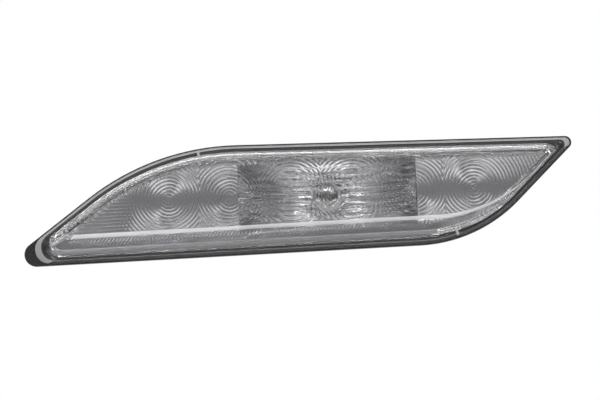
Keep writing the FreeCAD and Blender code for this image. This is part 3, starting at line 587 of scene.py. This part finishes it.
# A grid laid over a layer: columns along X, rows from the lower edge to the upper edge
def leaf_grid(name, outline, columns, rows, end_gap):
    bpy.ops.object.select_all(action="DESELECT")
    bpy.ops.mesh.primitive_grid_add(x_subdivisions=columns, y_subdivisions=rows, size=1)
    piece = bpy.context.object
    piece.name = name
    corners = np.zeros(len(piece.data.vertices) * 3)
    piece.data.vertices.foreach_get("co", corners)
    across, up = corners[0::3] + 0.5, corners[1::3] + 0.5
    at_left, at_right = across < END_TEST, across > 1 - END_TEST
    at_low, at_high = up < END_TEST, up > 1 - END_TEST
    ends = leaf_points(np.array([LEFTMOST, RIGHTMOST]), outline)[:, 0]
    x = ends[0] + end_gap + (ends[1] - ends[0] - 2 * end_gap) * across
    low, low_place, high, high_place = leaf_edges(x, outline)
    low_place = np.where(at_right, low_place - PLACES, low_place)
    place = low_place + (high_place - low_place) * up
    place = np.where(at_low, low_place, np.where(at_high, high_place, place))
    # The teeth of the flutes are counted along the grid's edge, and the tips have none
    count = np.where(at_left | at_right, np.rint(up * rows), np.rint(across * columns))
    on_tip = np.isin(np.floor(np.mod(place, PLACES)), (RIGHT_TIP_ARC, LEFT_TIP_ARC))
    tooth = np.where(on_tip, 0, np.mod(count, TOOTH_STEPS) / (TOOTH_STEPS - 1))
    for attribute_name, values in (("place", place), ("tooth", tooth)):
        attribute = piece.data.attributes.new(attribute_name, "FLOAT", "POINT")
        attribute.data.foreach_set("value", values)
    return piece, x, low + (high - low) * up


# Lays the points of a piece at given places
def set_places(piece, x, y, z):
    piece.data.vertices.foreach_set("co", np.stack([x, y, z], axis=1).ravel() * MM)
    piece.data.update()


# Extrudes the selected edge loop and lays the new loop where a function of its places says
def extrude_loop(piece, lay):
    bpy.ops.mesh.extrude_edges_indiv()
    mesh = bmesh.from_edit_mesh(piece.data)
    mark = mesh.verts.layers.float["place"]
    tooth = mesh.verts.layers.float["tooth"]
    loop = [vertex for vertex in mesh.verts if vertex.select]
    places = np.array([vertex[mark] for vertex in loop])
    teeth = np.array([vertex[tooth] for vertex in loop])
    for vertex, point in zip(loop, lay(places, teeth) * MM):
        vertex.co = point
    bmesh.update_edit_mesh(piece.data)


# A loop on a wall between two layers; push moves it out from the wall, a flute depth gives it saw teeth
def wall_loop(base, face, inset_share, depth, push=0.0, ripple=0.0):
    outline = between(base, face, inset_share)
    further = (outline[0] - 1.0, outline[1])

    def lay(place, tooth):
        points = leaf_points(place, outline)
        out = leaf_points(place, further) - points
        points = points + out * (push + ripple * tooth)[:, None]
        return np.stack([points[:, 0], np.full(len(points), depth), points[:, 1]], axis=1)

    return lay


print("ring cells at", RING_CENTRES, "mm")

# %% [markdown]
# The loops below are given as shares of a wall: 0 is its foot on the flange, 1 is the face. The flutes have
# short plain stretches above and below them, so that their teeth end cleanly.

# %% Lens mesh
LENS_COLUMNS, LENS_ROWS, LENS_END_GAP = 660, 96, 0.6
FLANGE_BACK, FLANGE_FRONT, FLANGE_SLOPE = -22.0, -24.6, 0.55
FLANGE_SIDE, FLANGE_ROUND, FLANGE_DRAW = 0.8, 0.15, 1.3
FLUTE_DEPTH, FLUTE_FOOT, FLUTE_TOP, FLUTE_EASE = 0.5, 0.3, 0.9, 0.04
OUTER_FLUTE, OUTER_FOOT, OUTER_TOP, OUTER_EASE = 0.4, 0.36, 0.80, 0.02
# Loops of the outer wall: shares of its inset and rise, first for a low step and then for the rounded edge
STEP_OUT = 0.3
STEP_LOOPS = ((0.0, 0.0, 0.0), (0.26, 0.26, 0.0), (0.28, 0.29, STEP_OUT), (0.32, 0.34, STEP_OUT),
              (0.34, 0.34, 0.0))
ROUND_LOOPS = ((0.86, 0.90), (0.92, 0.965), (0.98, 0.995), (1.03, 1.0))

lens, lens_x, lens_z = leaf_grid("lens_moulding", HOLLOW_FACE, LENS_COLUMNS, LENS_ROWS, LENS_END_GAP)
set_places(lens, lens_x, FACE_BACK + ring_height(lens_x, lens_z), lens_z)
bpy.ops.object.mode_set(mode="EDIT")
bpy.ops.mesh.select_mode(type="EDGE")
bpy.ops.mesh.select_all(action="DESELECT")
bpy.ops.mesh.select_non_manifold()
inner_rise = FACE_BACK - FLANGE_FRONT
for share, ripple in ((FLUTE_TOP + FLUTE_EASE, 0.0), (FLUTE_TOP, -FLUTE_DEPTH), (FLUTE_FOOT, -FLUTE_DEPTH),
                      (FLUTE_FOOT - FLUTE_EASE, 0.0), (0.0, 0.0)):
    depth = FLANGE_FRONT + inner_rise * share
    extrude_loop(lens, wall_loop(HOLLOW_BASE, HOLLOW_FACE, share, depth, ripple=ripple))
for outline, depth, push in (
    (HOLLOW_BASE, FLANGE_BACK, 0.0),
    (LENS_FLANGE, FLANGE_BACK, 0.0),
    (LENS_FLANGE, FLANGE_FRONT + FLANGE_SIDE, 0.0),
    (LENS_FLANGE, FLANGE_FRONT + FLANGE_SLOPE, -FLANGE_ROUND),
    (LENS_FLANGE, FLANGE_FRONT, -FLANGE_DRAW),
):
    extrude_loop(lens, wall_loop(outline, outline, 0, depth, push))
outer_rise = FACE_FRONT - FLANGE_FRONT
outer_loops = [(inset, rise, push, 0.0) for inset, rise, push in STEP_LOOPS]
for share, ripple in ((OUTER_FOOT, -OUTER_FLUTE), (OUTER_TOP, -OUTER_FLUTE), (OUTER_TOP + OUTER_EASE, 0.0)):
    outer_loops.append((share, share, 0.0, ripple))
outer_loops += [(inset, rise, 0.0, 0.0) for inset, rise in ROUND_LOOPS]
for inset, rise, push, ripple in outer_loops:
    depth = FLANGE_FRONT + outer_rise * rise
    extrude_loop(lens, wall_loop(LENS_BASE, LENS_FACE, inset, depth, push, ripple))
bpy.ops.mesh.edge_face_add()
bpy.ops.mesh.select_all(action="SELECT")
bpy.ops.mesh.normals_make_consistent(inside=False)
print("lens loops:", len(outer_loops), "on the outer wall")

# %% [markdown]
# The finishes of the lens are given to its faces by where they lie: the frosted slope is on the flange from
# the right tip round to the left tip, the flutes are the long faces of the walls, and the satin bead is on
# the rounded edge of the lower and right sides. The slope and the bead carry painted highlights in their
# pale colours, and the flutes carry painted shade in their grey tint.

# %% Lens finishes
# The bead and the frosted slope carry painted highlights, the flutes painted shade
CLEAR, PAINTED_BEAD_HIGHLIGHT, PAINTED_FROST_HIGHLIGHT, PAINTED_SHADE_FLUTES = range(4)
FLUTE_LENGTH, BEAD_START = 3.0, 0.88
DEPTH_TEST, LEVEL_TEST, FACING_TEST = 0.01, 0.001, 0.1
LENS_SMOOTH = math.radians(48)
for material in (clear_lens, bead_painted_highlight, frost_painted_highlight, flutes_painted_shade):
    lens.data.materials.append(material)
mesh = bmesh.from_edit_mesh(lens.data)
mark = mesh.verts.layers.float["place"]
bead_back = FLANGE_FRONT + outer_rise * BEAD_START
for face in mesh.faces:
    depths = [vertex.co.y / MM for vertex in face.verts]
    places = [vertex[mark] % PLACES for vertex in face.verts]
    back, front = max(depths), min(depths)
    four_sided = len(face.verts) == 4
    at_slope = abs(back - FLANGE_FRONT - FLANGE_SLOPE) < DEPTH_TEST and abs(front - FLANGE_FRONT) < DEPTH_TEST
    on_edge = back < bead_back and back - front > LEVEL_TEST and face.normal.y < -FACING_TEST
    if at_slope and min(places) >= RIGHT_TIP_ARC:
        face.material_index = PAINTED_FROST_HIGHLIGHT
    elif four_sided and back - front > FLUTE_LENGTH:
        face.material_index = PAINTED_SHADE_FLUTES
    elif four_sided and on_edge and max(places) < RIGHT_TIP_ARC:
        face.material_index = PAINTED_BEAD_HIGHLIGHT
    else:
        face.material_index = CLEAR
bpy.ops.object.mode_set(mode="OBJECT")
bpy.ops.object.shade_smooth_by_angle(angle=LENS_SMOOTH)
# The flat front is one large face and keeps its own even shade
for face in lens.data.polygons:
    face.use_smooth = face.loop_total == 4
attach(lens, "root")
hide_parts("outer_lens")
print("lens faces:", len(lens.data.polygons))

# %% [markdown]
# Two short ribs cross the flange, one on the upper side and one on the lower right. Each is a small block
# turned to follow the edge and rounded with a bevel, and it stands on the flange.

# %% Lens ribs
RIB_SIZE, RIB_SINK = Vector((1.5, 1.8, 4.6)), 0.3
UPPER_RIB_X, LOWER_RIB_X = -58.3, 90.8
RIB_SMOOTH = math.radians(30)
BLOCK_ROUNDING = 0.4


# A block of a given size at a place, turned about Y
def block(place, size, turn=0.0):
    bpy.ops.object.select_all(action="DESELECT")
    bpy.ops.mesh.primitive_cube_add(size=1, location=Vector(place) * MM, rotation=(0, turn, 0),
                                    scale=Vector(size) * MM)
    bpy.ops.object.transform_apply(location=True, rotation=True, scale=True)
    return bpy.context.object


# Rounds every edge of the block that was just made
def round_block():
    bpy.ops.object.mode_set(mode="EDIT")
    bpy.ops.mesh.bevel(offset=BLOCK_ROUNDING * MM, segments=3)
    bpy.ops.object.mode_set(mode="OBJECT")


# Joins pieces into the first of them
def joined(pieces):
    bpy.ops.object.select_all(action="DESELECT")
    for piece in pieces:
        piece.select_set(True)
    bpy.context.view_layer.objects.active = pieces[0]
    bpy.ops.object.join()
    return pieces[0]


def lens_rib(x, upper):
    low, _, high, _ = leaf_edges(np.array([x - 1, x, x + 1]), LENS_BASE)
    before, z, after = high if upper else low
    place = (x, FLANGE_FRONT - RIB_SIZE.y / 2 + RIB_SINK, z)
    rib = block(place, RIB_SIZE, turn=-math.atan2(after - before, 2))
    round_block()
    bpy.ops.object.shade_smooth_by_angle(angle=RIB_SMOOTH)
    return rib


lens_ribs = joined([lens_rib(LOWER_RIB_X, upper=False), lens_rib(UPPER_RIB_X, upper=True)])
lens_ribs.name = "lens_ribs"
# The ribs take the frosted finish, whose pale grey is a painted highlight
coat(lens_ribs, frost_painted_highlight)
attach(lens_ribs, "root")
print("rib faces:", len(lens_ribs.data.polygons))

# %% [markdown]
# ## The reflector
# Behind the lens lies a metallised plate. Its wings are flat, and its bowl is a parabola round the bulb, cut
# into strips that each spread the light. A grid is laid over the plate and pushed back where the bowl is,
# because one sheet keeps the strips and the wings without a seam. Solidify gives it the thickness of a
# moulding.

# %% Reflector mesh
REFLECTOR_EDGE = even_layer(5.4, right_tip=2.0, left_tip=6.0)
PLATE_GAP = 0.05
REFLECTOR_FRONT = FLANGE_BACK + PLATE_GAP
BOWL_X, BOWL_Z, BOWL_HALF_WIDTH, BOWL_HALF_HEIGHT, BOWL_FOCUS = 16.4, 3.0, 52.5, 19.0, 24.0
STRIP_COUNT = 9
STRIP_HEIGHT = 2 * BOWL_HALF_HEIGHT / STRIP_COUNT
BOWL_SPREAD, STRIP_CROWN, STRIP_FADE = 50.0, 1.8, 14.0
PLATE_COLUMNS, PLATE_ROWS, PLATE_END_GAP = 430, 104, 0.8
SNAP_MARGIN, SIDE_TEST = 2.0, 0.01

reflector, plate_x, plate_z = leaf_grid("reflector_plate", REFLECTOR_EDGE, PLATE_COLUMNS, PLATE_ROWS,
                                        PLATE_END_GAP)
plate_low, _, plate_high, _ = leaf_edges(plate_x, REFLECTOR_EDGE)
half_row = (plate_high - plate_low) / PLATE_ROWS / 2
# The rows nearest to the bowl's two long sides are laid straight along them
near_bowl = np.abs(plate_x - BOWL_X) < BOWL_HALF_WIDTH + SNAP_MARGIN
for bowl_side in (BOWL_Z - BOWL_HALF_HEIGHT, BOWL_Z + BOWL_HALF_HEIGHT):
    beside = (np.abs(plate_z - bowl_side) <= half_row) & near_bowl
    plate_z = np.where(beside, bowl_side, plate_z)
off_x, off_z = plate_x - BOWL_X, plate_z - BOWL_Z
in_bowl = (np.abs(off_x) < BOWL_HALF_WIDTH) & (np.abs(off_z) < BOWL_HALF_HEIGHT - SIDE_TEST)
bowl = (BOWL_HALF_WIDTH ** 2 - off_x ** 2) / (4 * BOWL_FOCUS) * (1 - (off_z / BOWL_SPREAD) ** 2)
strip = np.mod(off_z + BOWL_HALF_HEIGHT, STRIP_HEIGHT) / STRIP_HEIGHT - 0.5
crown = STRIP_CROWN * (0.25 - strip ** 2) * np.clip(bowl / STRIP_FADE, 0, 1)
plate_y = np.where(in_bowl, bowl - crown, 0.0)
set_places(reflector, plate_x, REFLECTOR_FRONT + plate_y, plate_z)
print("bowl depth:", round(float(plate_y.max()), 1), "mm")

# %% [markdown]
# The bulb comes through a round hole at the bottom of the bowl. The grid's faces there are deleted, and the
# stepped edge that is left is drawn out to a true circle.

# %% Bulb hole and thickness
BULB_HOLE, HOLE_RING, PLATE_WALL = 7.9, 1.5, 0.9
PLATE_SMOOTH = math.radians(30)
bpy.ops.object.mode_set(mode="EDIT")
bpy.ops.mesh.select_mode(type="FACE")
bpy.ops.mesh.select_all(action="DESELECT")
mesh = bmesh.from_edit_mesh(reflector.data)
for face in mesh.faces:
    middle = face.calc_center_median() / MM
    face.select_set(math.hypot(middle.x - BOWL_X, middle.z - BOWL_Z) < BULB_HOLE)
bpy.ops.mesh.delete(type="FACE")
mesh = bmesh.from_edit_mesh(reflector.data)
for vertex in mesh.verts:
    x, z = vertex.co.x / MM - BOWL_X, vertex.co.z / MM - BOWL_Z
    reach_out = math.hypot(x, z)
    if vertex.is_boundary and reach_out < BULB_HOLE + HOLE_RING:
        vertex.co.x = (BOWL_X + x * BULB_HOLE / reach_out) * MM
        vertex.co.z = (BOWL_Z + z * BULB_HOLE / reach_out) * MM
bmesh.update_edit_mesh(reflector.data)
bpy.ops.object.mode_set(mode="OBJECT")
thickness = reflector.modifiers.new("wall", "SOLIDIFY")
thickness.thickness = PLATE_WALL * MM
thickness.offset = -1
bpy.ops.object.modifier_apply(modifier="wall")
bpy.ops.object.shade_smooth_by_angle(angle=PLATE_SMOOTH)
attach(reflector, "root")
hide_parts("reflector")
print("reflector faces:", len(reflector.data.polygons))

# %% [markdown]
# ## The bulb
# A wedge bulb is a blown glass tube with a round end, pinched flat at its foot, with a fine coil between two
# wires. Half of the glass's section is drawn as a line of points and spun round the bulb axis, as glass is
# turned in the flame. The hollow is spun in the same way and turned inside out, and the foot is a block.

# %% Bulb glass
BULB_RADIUS, GLASS_WALL = 7.3, 0.5
BULB_TIP, BULB_NECK, BULB_SEAT = -23.69, 0.31, 3.31
SHOULDER_LENGTH, SHOULDER_DRAW = 1.5, 0.5
PINCH_RADIUS, PINCH_LENGTH, FOOT_RADIUS = 5.4, 1.0, 4.75
HOLLOW_END, HOLLOW_CORNER, HOLLOW_SIDE, HOLLOW_ROUND = 2.0, 2.3, 4.0, 1.5
WEDGE_SIZE, WEDGE_SINK = Vector((9.5, 8.6, 2.2)), 0.05
DOME_CENTRE = BULB_TIP + BULB_RADIUS
DOME_STEPS, BULB_STEPS = 10, 40
SPIN_MERGE, SPIN_SMOOTH = 0.01, math.radians(40)


# Spins a line of (radius, depth) points round an axis along Y
def spun(name, profile, axis_x, axis_z, steps):
    bpy.ops.object.select_all(action="DESELECT")
    bpy.ops.mesh.primitive_plane_add(size=1)
    piece = bpy.context.object
    piece.name = name
    bpy.ops.object.mode_set(mode="EDIT")
    mesh = bmesh.from_edit_mesh(piece.data)
    bmesh.ops.delete(mesh, geom=list(mesh.verts), context="VERTS")
    points = [mesh.verts.new(((axis_x + radius) * MM, depth * MM, axis_z * MM)) for radius, depth in profile]
    for first, second in zip(points, points[1:]):
        mesh.edges.new((first, second))
    bmesh.update_edit_mesh(piece.data)
    bpy.ops.mesh.select_all(action="SELECT")
    bpy.ops.mesh.spin(steps=steps, angle=2 * math.pi, center=(axis_x * MM, 0, axis_z * MM), axis=(0, 1, 0))
    bpy.ops.mesh.select_all(action="SELECT")
    bpy.ops.mesh.remove_doubles(threshold=SPIN_MERGE * MM)
    bpy.ops.mesh.normals_make_consistent(inside=False)
    bpy.ops.object.mode_set(mode="OBJECT")
    bpy.ops.object.shade_smooth_by_angle(angle=SPIN_SMOOTH)
    return piece


# A quarter circle of points for a dome
def dome(radius):
    turns = [math.pi / 2 * step / DOME_STEPS for step in range(DOME_STEPS + 1)]
    return [(radius * math.sin(turn), DOME_CENTRE - radius * math.cos(turn)) for turn in turns]


inner_radius = BULB_RADIUS - GLASS_WALL
glass_profile = dome(BULB_RADIUS) + [
    (BULB_RADIUS, BULB_NECK - SHOULDER_LENGTH), (BULB_RADIUS - SHOULDER_DRAW, BULB_NECK),
    (PINCH_RADIUS, BULB_SEAT - PINCH_LENGTH), (FOOT_RADIUS, BULB_SEAT), (0, BULB_SEAT)]
hollow_profile = [(0, BULB_NECK - HOLLOW_END), (inner_radius - HOLLOW_ROUND, BULB_NECK - HOLLOW_CORNER),
                  (inner_radius, BULB_NECK - HOLLOW_SIDE)] + dome(inner_radius)[::-1]
bulb = spun("bulb_glass_tube", glass_profile, BOWL_X, BOWL_Z, BULB_STEPS)
bulb_hollow = spun("bulb_hollow", hollow_profile, BOWL_X, BOWL_Z, BULB_STEPS)
bpy.ops.object.mode_set(mode="EDIT")
bpy.ops.mesh.select_all(action="SELECT")
bpy.ops.mesh.flip_normals()
bpy.ops.object.mode_set(mode="OBJECT")
wedge = block((BOWL_X, BULB_SEAT + WEDGE_SIZE.y / 2 - WEDGE_SINK, BOWL_Z), WEDGE_SIZE)
round_block()
joined([bulb, bulb_hollow, wedge])
coat(bulb, bulb_glass)
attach(bulb, "root")
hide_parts("bulb_envelope")
print("bulb faces:", len(bulb.data.polygons))

# %% [markdown]
# The filament is a wire wound into a coil. A small circle, the wire's section, is swept round and along X by
# the Screw modifier, which makes the whole coil in one step.

# %% Filament coil
FILAMENT_Y, COIL_RADIUS, COIL_WIRE, COIL_TURNS, COIL_HALF_LENGTH = -16.8, 0.38, 0.11, 9, 2.3
WIRE_SIDES, TURN_STEPS = 8, 12
bpy.ops.object.select_all(action="DESELECT")
bpy.ops.mesh.primitive_circle_add(vertices=WIRE_SIDES, radius=COIL_WIRE * MM,
                                  location=(0, 0, COIL_RADIUS * MM), rotation=(math.pi / 2, 0, 0))
coil = bpy.context.object
coil.name = "filament_coil"
bpy.ops.object.transform_apply(location=True, rotation=True, scale=True)
sweep = coil.modifiers.new("coil", "SCREW")
sweep.axis = "X"
sweep.steps = TURN_STEPS
sweep.render_steps = TURN_STEPS
sweep.iterations = COIL_TURNS
sweep.screw_offset = 2 * COIL_HALF_LENGTH / COIL_TURNS * MM
bpy.ops.object.modifier_apply(modifier="coil")
bpy.ops.object.mode_set(mode="EDIT")
bpy.ops.mesh.select_all(action="SELECT")
bpy.ops.mesh.normals_make_consistent(inside=False)
bpy.ops.transform.translate(value=((BOWL_X - COIL_HALF_LENGTH) * MM, FILAMENT_Y * MM, BOWL_Z * MM))
bpy.ops.object.mode_set(mode="OBJECT")
bpy.ops.object.shade_smooth()
coat(coil, tungsten)
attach(coil, "root")
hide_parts("bulb_filament")
print("coil faces:", len(coil.data.polygons))

# %% [markdown]
# ## Housing, holder, breather cap and gasket
# A moulded piece has no sharp edges. These four solids already have their full form, so a copy of each is
# merged into clean faces, and the Bevel modifier rounds every edge that turns by more than a given angle, so
# that rim, bulge and socket catch light. Weighted normals then keep the flat faces flat to the eye.

# %% Softened mouldings
SOLID_MERGE, FLAT_TURN = 0.002, 1


# A copy of a solid with its edges rounded by a width, where they turn by more than an angle in degrees
def softened(node_name, piece_name, width, turn):
    bpy.ops.object.select_all(action="DESELECT")
    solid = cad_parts[node_name]
    piece = solid.copy()
    piece.data = solid.data.copy()
    piece.name = piece_name
    scene.collection.objects.link(piece)
    piece.parent = None
    bpy.context.view_layer.objects.active = piece
    piece.select_set(True)
    bpy.ops.object.mode_set(mode="EDIT")
    bpy.ops.mesh.select_all(action="SELECT")
    bpy.ops.mesh.remove_doubles(threshold=SOLID_MERGE * MM)
    bpy.ops.mesh.dissolve_limited(angle_limit=math.radians(FLAT_TURN))
    bpy.ops.object.mode_set(mode="OBJECT")
    edge = piece.modifiers.new("edge", "BEVEL")
    edge.width = width * MM
    edge.segments = 2
    edge.limit_method = "ANGLE"
    edge.angle_limit = math.radians(turn)
    bpy.ops.object.modifier_apply(modifier="edge")
    bpy.ops.object.shade_smooth_by_angle(angle=math.radians(turn))
    # Large flat faces lead the shading, so that the roundings do not cloud them
    even_shade = piece.modifiers.new("even_shade", "WEIGHTED_NORMAL")
    even_shade.keep_sharp = True
    bpy.ops.object.modifier_apply(modifier="even_shade")
    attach(piece, "root")
    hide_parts(node_name)
    print(piece_name, "faces:", len(piece.data.polygons))
    return piece


housing_shell = softened("housing", "housing_shell", width=0.4, turn=32)
holder_body = softened("bulb_holder", "holder_body", width=0.35, turn=32)
breather_cap = softened("vent_cap", "breather_cap", width=0.6, turn=32)
gasket_pad = softened("bumper_gasket", "gasket_pad", width=0.5, turn=40)

# %% [markdown]
# ## Fasteners
# A stud is a turned pin with a rolled thread. Its outline is spun round the stud's axis with many points
# along the shank, and each of them is then drawn in by how far along and how far round it lies, which gives
# a helix with no seam.

# %% Threaded studs
THREAD_RADIUS, THREAD_PITCH, THREAD_DEPTH, THREAD_STEP = 2.5, 0.8, 0.45, 0.1
STUD_CHAMFER, STUD_STEPS, THREAD_TEST = 0.6, 24, 0.05


def threaded_stud(node_name, piece_name):
    low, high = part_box(node_name)
    axis_x, axis_z = (low[0] + high[0]) / 2 / MM, (low[2] + high[2]) / 2 / MM
    collar_radius = (high[0] - low[0]) / 2 / MM
    start, end = low[1] / MM, high[1] / MM
    collar = [(0, start), (collar_radius, start), (collar_radius, 0)]
    shank = [(THREAD_RADIUS, depth) for depth in np.arange(0, end - STUD_CHAMFER, THREAD_STEP)]
    tip = [(THREAD_RADIUS - STUD_CHAMFER, end), (0, end)]
    piece = spun(piece_name, collar + shank + tip, axis_x, axis_z, STUD_STEPS)
    for vertex in piece.data.vertices:
        x, depth, z = vertex.co.x / MM - axis_x, vertex.co.y / MM, vertex.co.z / MM - axis_z
        if abs(math.hypot(x, z) - THREAD_RADIUS) > THREAD_TEST or depth < THREAD_PITCH:
            continue
        turn = (depth / THREAD_PITCH - math.atan2(z, x) / (2 * math.pi)) % 1
        share = 1 - THREAD_DEPTH * abs(2 * turn - 1) / THREAD_RADIUS
        vertex.co.x = (axis_x + x * share) * MM
        vertex.co.z = (axis_z + z * share) * MM
    coat(piece, zinc_plate)
    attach(piece, "root")
    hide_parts(node_name)
    print(piece_name, "faces:", len(piece.data.polygons))


threaded_stud("stud_left", "stud_thread_left")
threaded_stud("stud_right", "stud_thread_right")

# %% [markdown]
# The reflector is held by three screws with a cross recess. Each screw is spun from its outline, and two thin
# blocks are cut out of its head, one for each arm of the cross.

# %% Cross-recess screws
SCREW_PLACES = ((-128.0, -13.0), (-66.0, 5.0), (128.0, 15.0))
SCREW_TIP, HEAD_UNDER, HEAD_TOP, SHANK_RADIUS, HEAD_RADIUS = -16.2, -5.2, -2.8, 1.5, 3.5
POINT_DRAW, POINT_LENGTH = 0.4, 0.8
CROWN_HEIGHT, CROWN_MIDDLE, CROWN_DRAW = 1.1, 0.5, 0.3
RECESS_LENGTH, RECESS_WIDTH, RECESS_DEPTH = 3.8, 0.9, 1.3
SCREW_STEPS, SCREW_SMOOTH = 32, math.radians(35)


def cross_screw(x, z):
    point = [(0, SCREW_TIP), (SHANK_RADIUS - POINT_DRAW, SCREW_TIP), (SHANK_RADIUS, SCREW_TIP + POINT_LENGTH)]
    head = [(SHANK_RADIUS, HEAD_UNDER), (HEAD_RADIUS, HEAD_UNDER), (HEAD_RADIUS, HEAD_TOP - CROWN_HEIGHT),
            (HEAD_RADIUS - CROWN_DRAW, HEAD_TOP - CROWN_MIDDLE), (HEAD_RADIUS - CROWN_HEIGHT, HEAD_TOP),
            (0, HEAD_TOP)]
    screw = spun("screw", point + head, x, z, SCREW_STEPS)
    for length, height in ((RECESS_LENGTH, RECESS_WIDTH), (RECESS_WIDTH, RECESS_LENGTH)):
        arm = block((x, HEAD_TOP, z), (length, 2 * RECESS_DEPTH, height))
        bpy.context.view_layer.objects.active = screw
        recess = screw.modifiers.new("recess", "BOOLEAN")
        recess.operation = "DIFFERENCE"
        recess.object = arm
        bpy.ops.object.modifier_apply(modifier="recess")
        bpy.data.objects.remove(arm)
    return screw


screw_set = joined([cross_screw(x, z) for x, z in SCREW_PLACES])
screw_set.name = "screw_set"
bpy.ops.object.shade_smooth_by_angle(angle=SCREW_SMOOTH)
coat(screw_set, zinc_plate)
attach(screw_set, "root")
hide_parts("reflector_screws")
print("screw faces:", len(screw_set.data.polygons))

# %% [markdown]
# Each screw bites into a hollow post that stands on the back of the reflector. The posts are spun round the
# screws' axes and joined to the plate, because plate and posts are one moulding.

# %% Reflector posts
POST_RADIUS, POST_FOOT, POST_END = 4.0, -21.5, -8.2
post_outline = [(0, POST_FOOT), (POST_RADIUS, POST_FOOT), (POST_RADIUS, POST_END), (SHANK_RADIUS, POST_END),
                (SHANK_RADIUS, SCREW_TIP), (0, SCREW_TIP)]
joined([reflector] + [spun("post", post_outline, x, z, SCREW_STEPS) for x, z in SCREW_PLACES])
coat(reflector, metallised)
print("reflector with posts:", len(reflector.data.polygons), "faces")
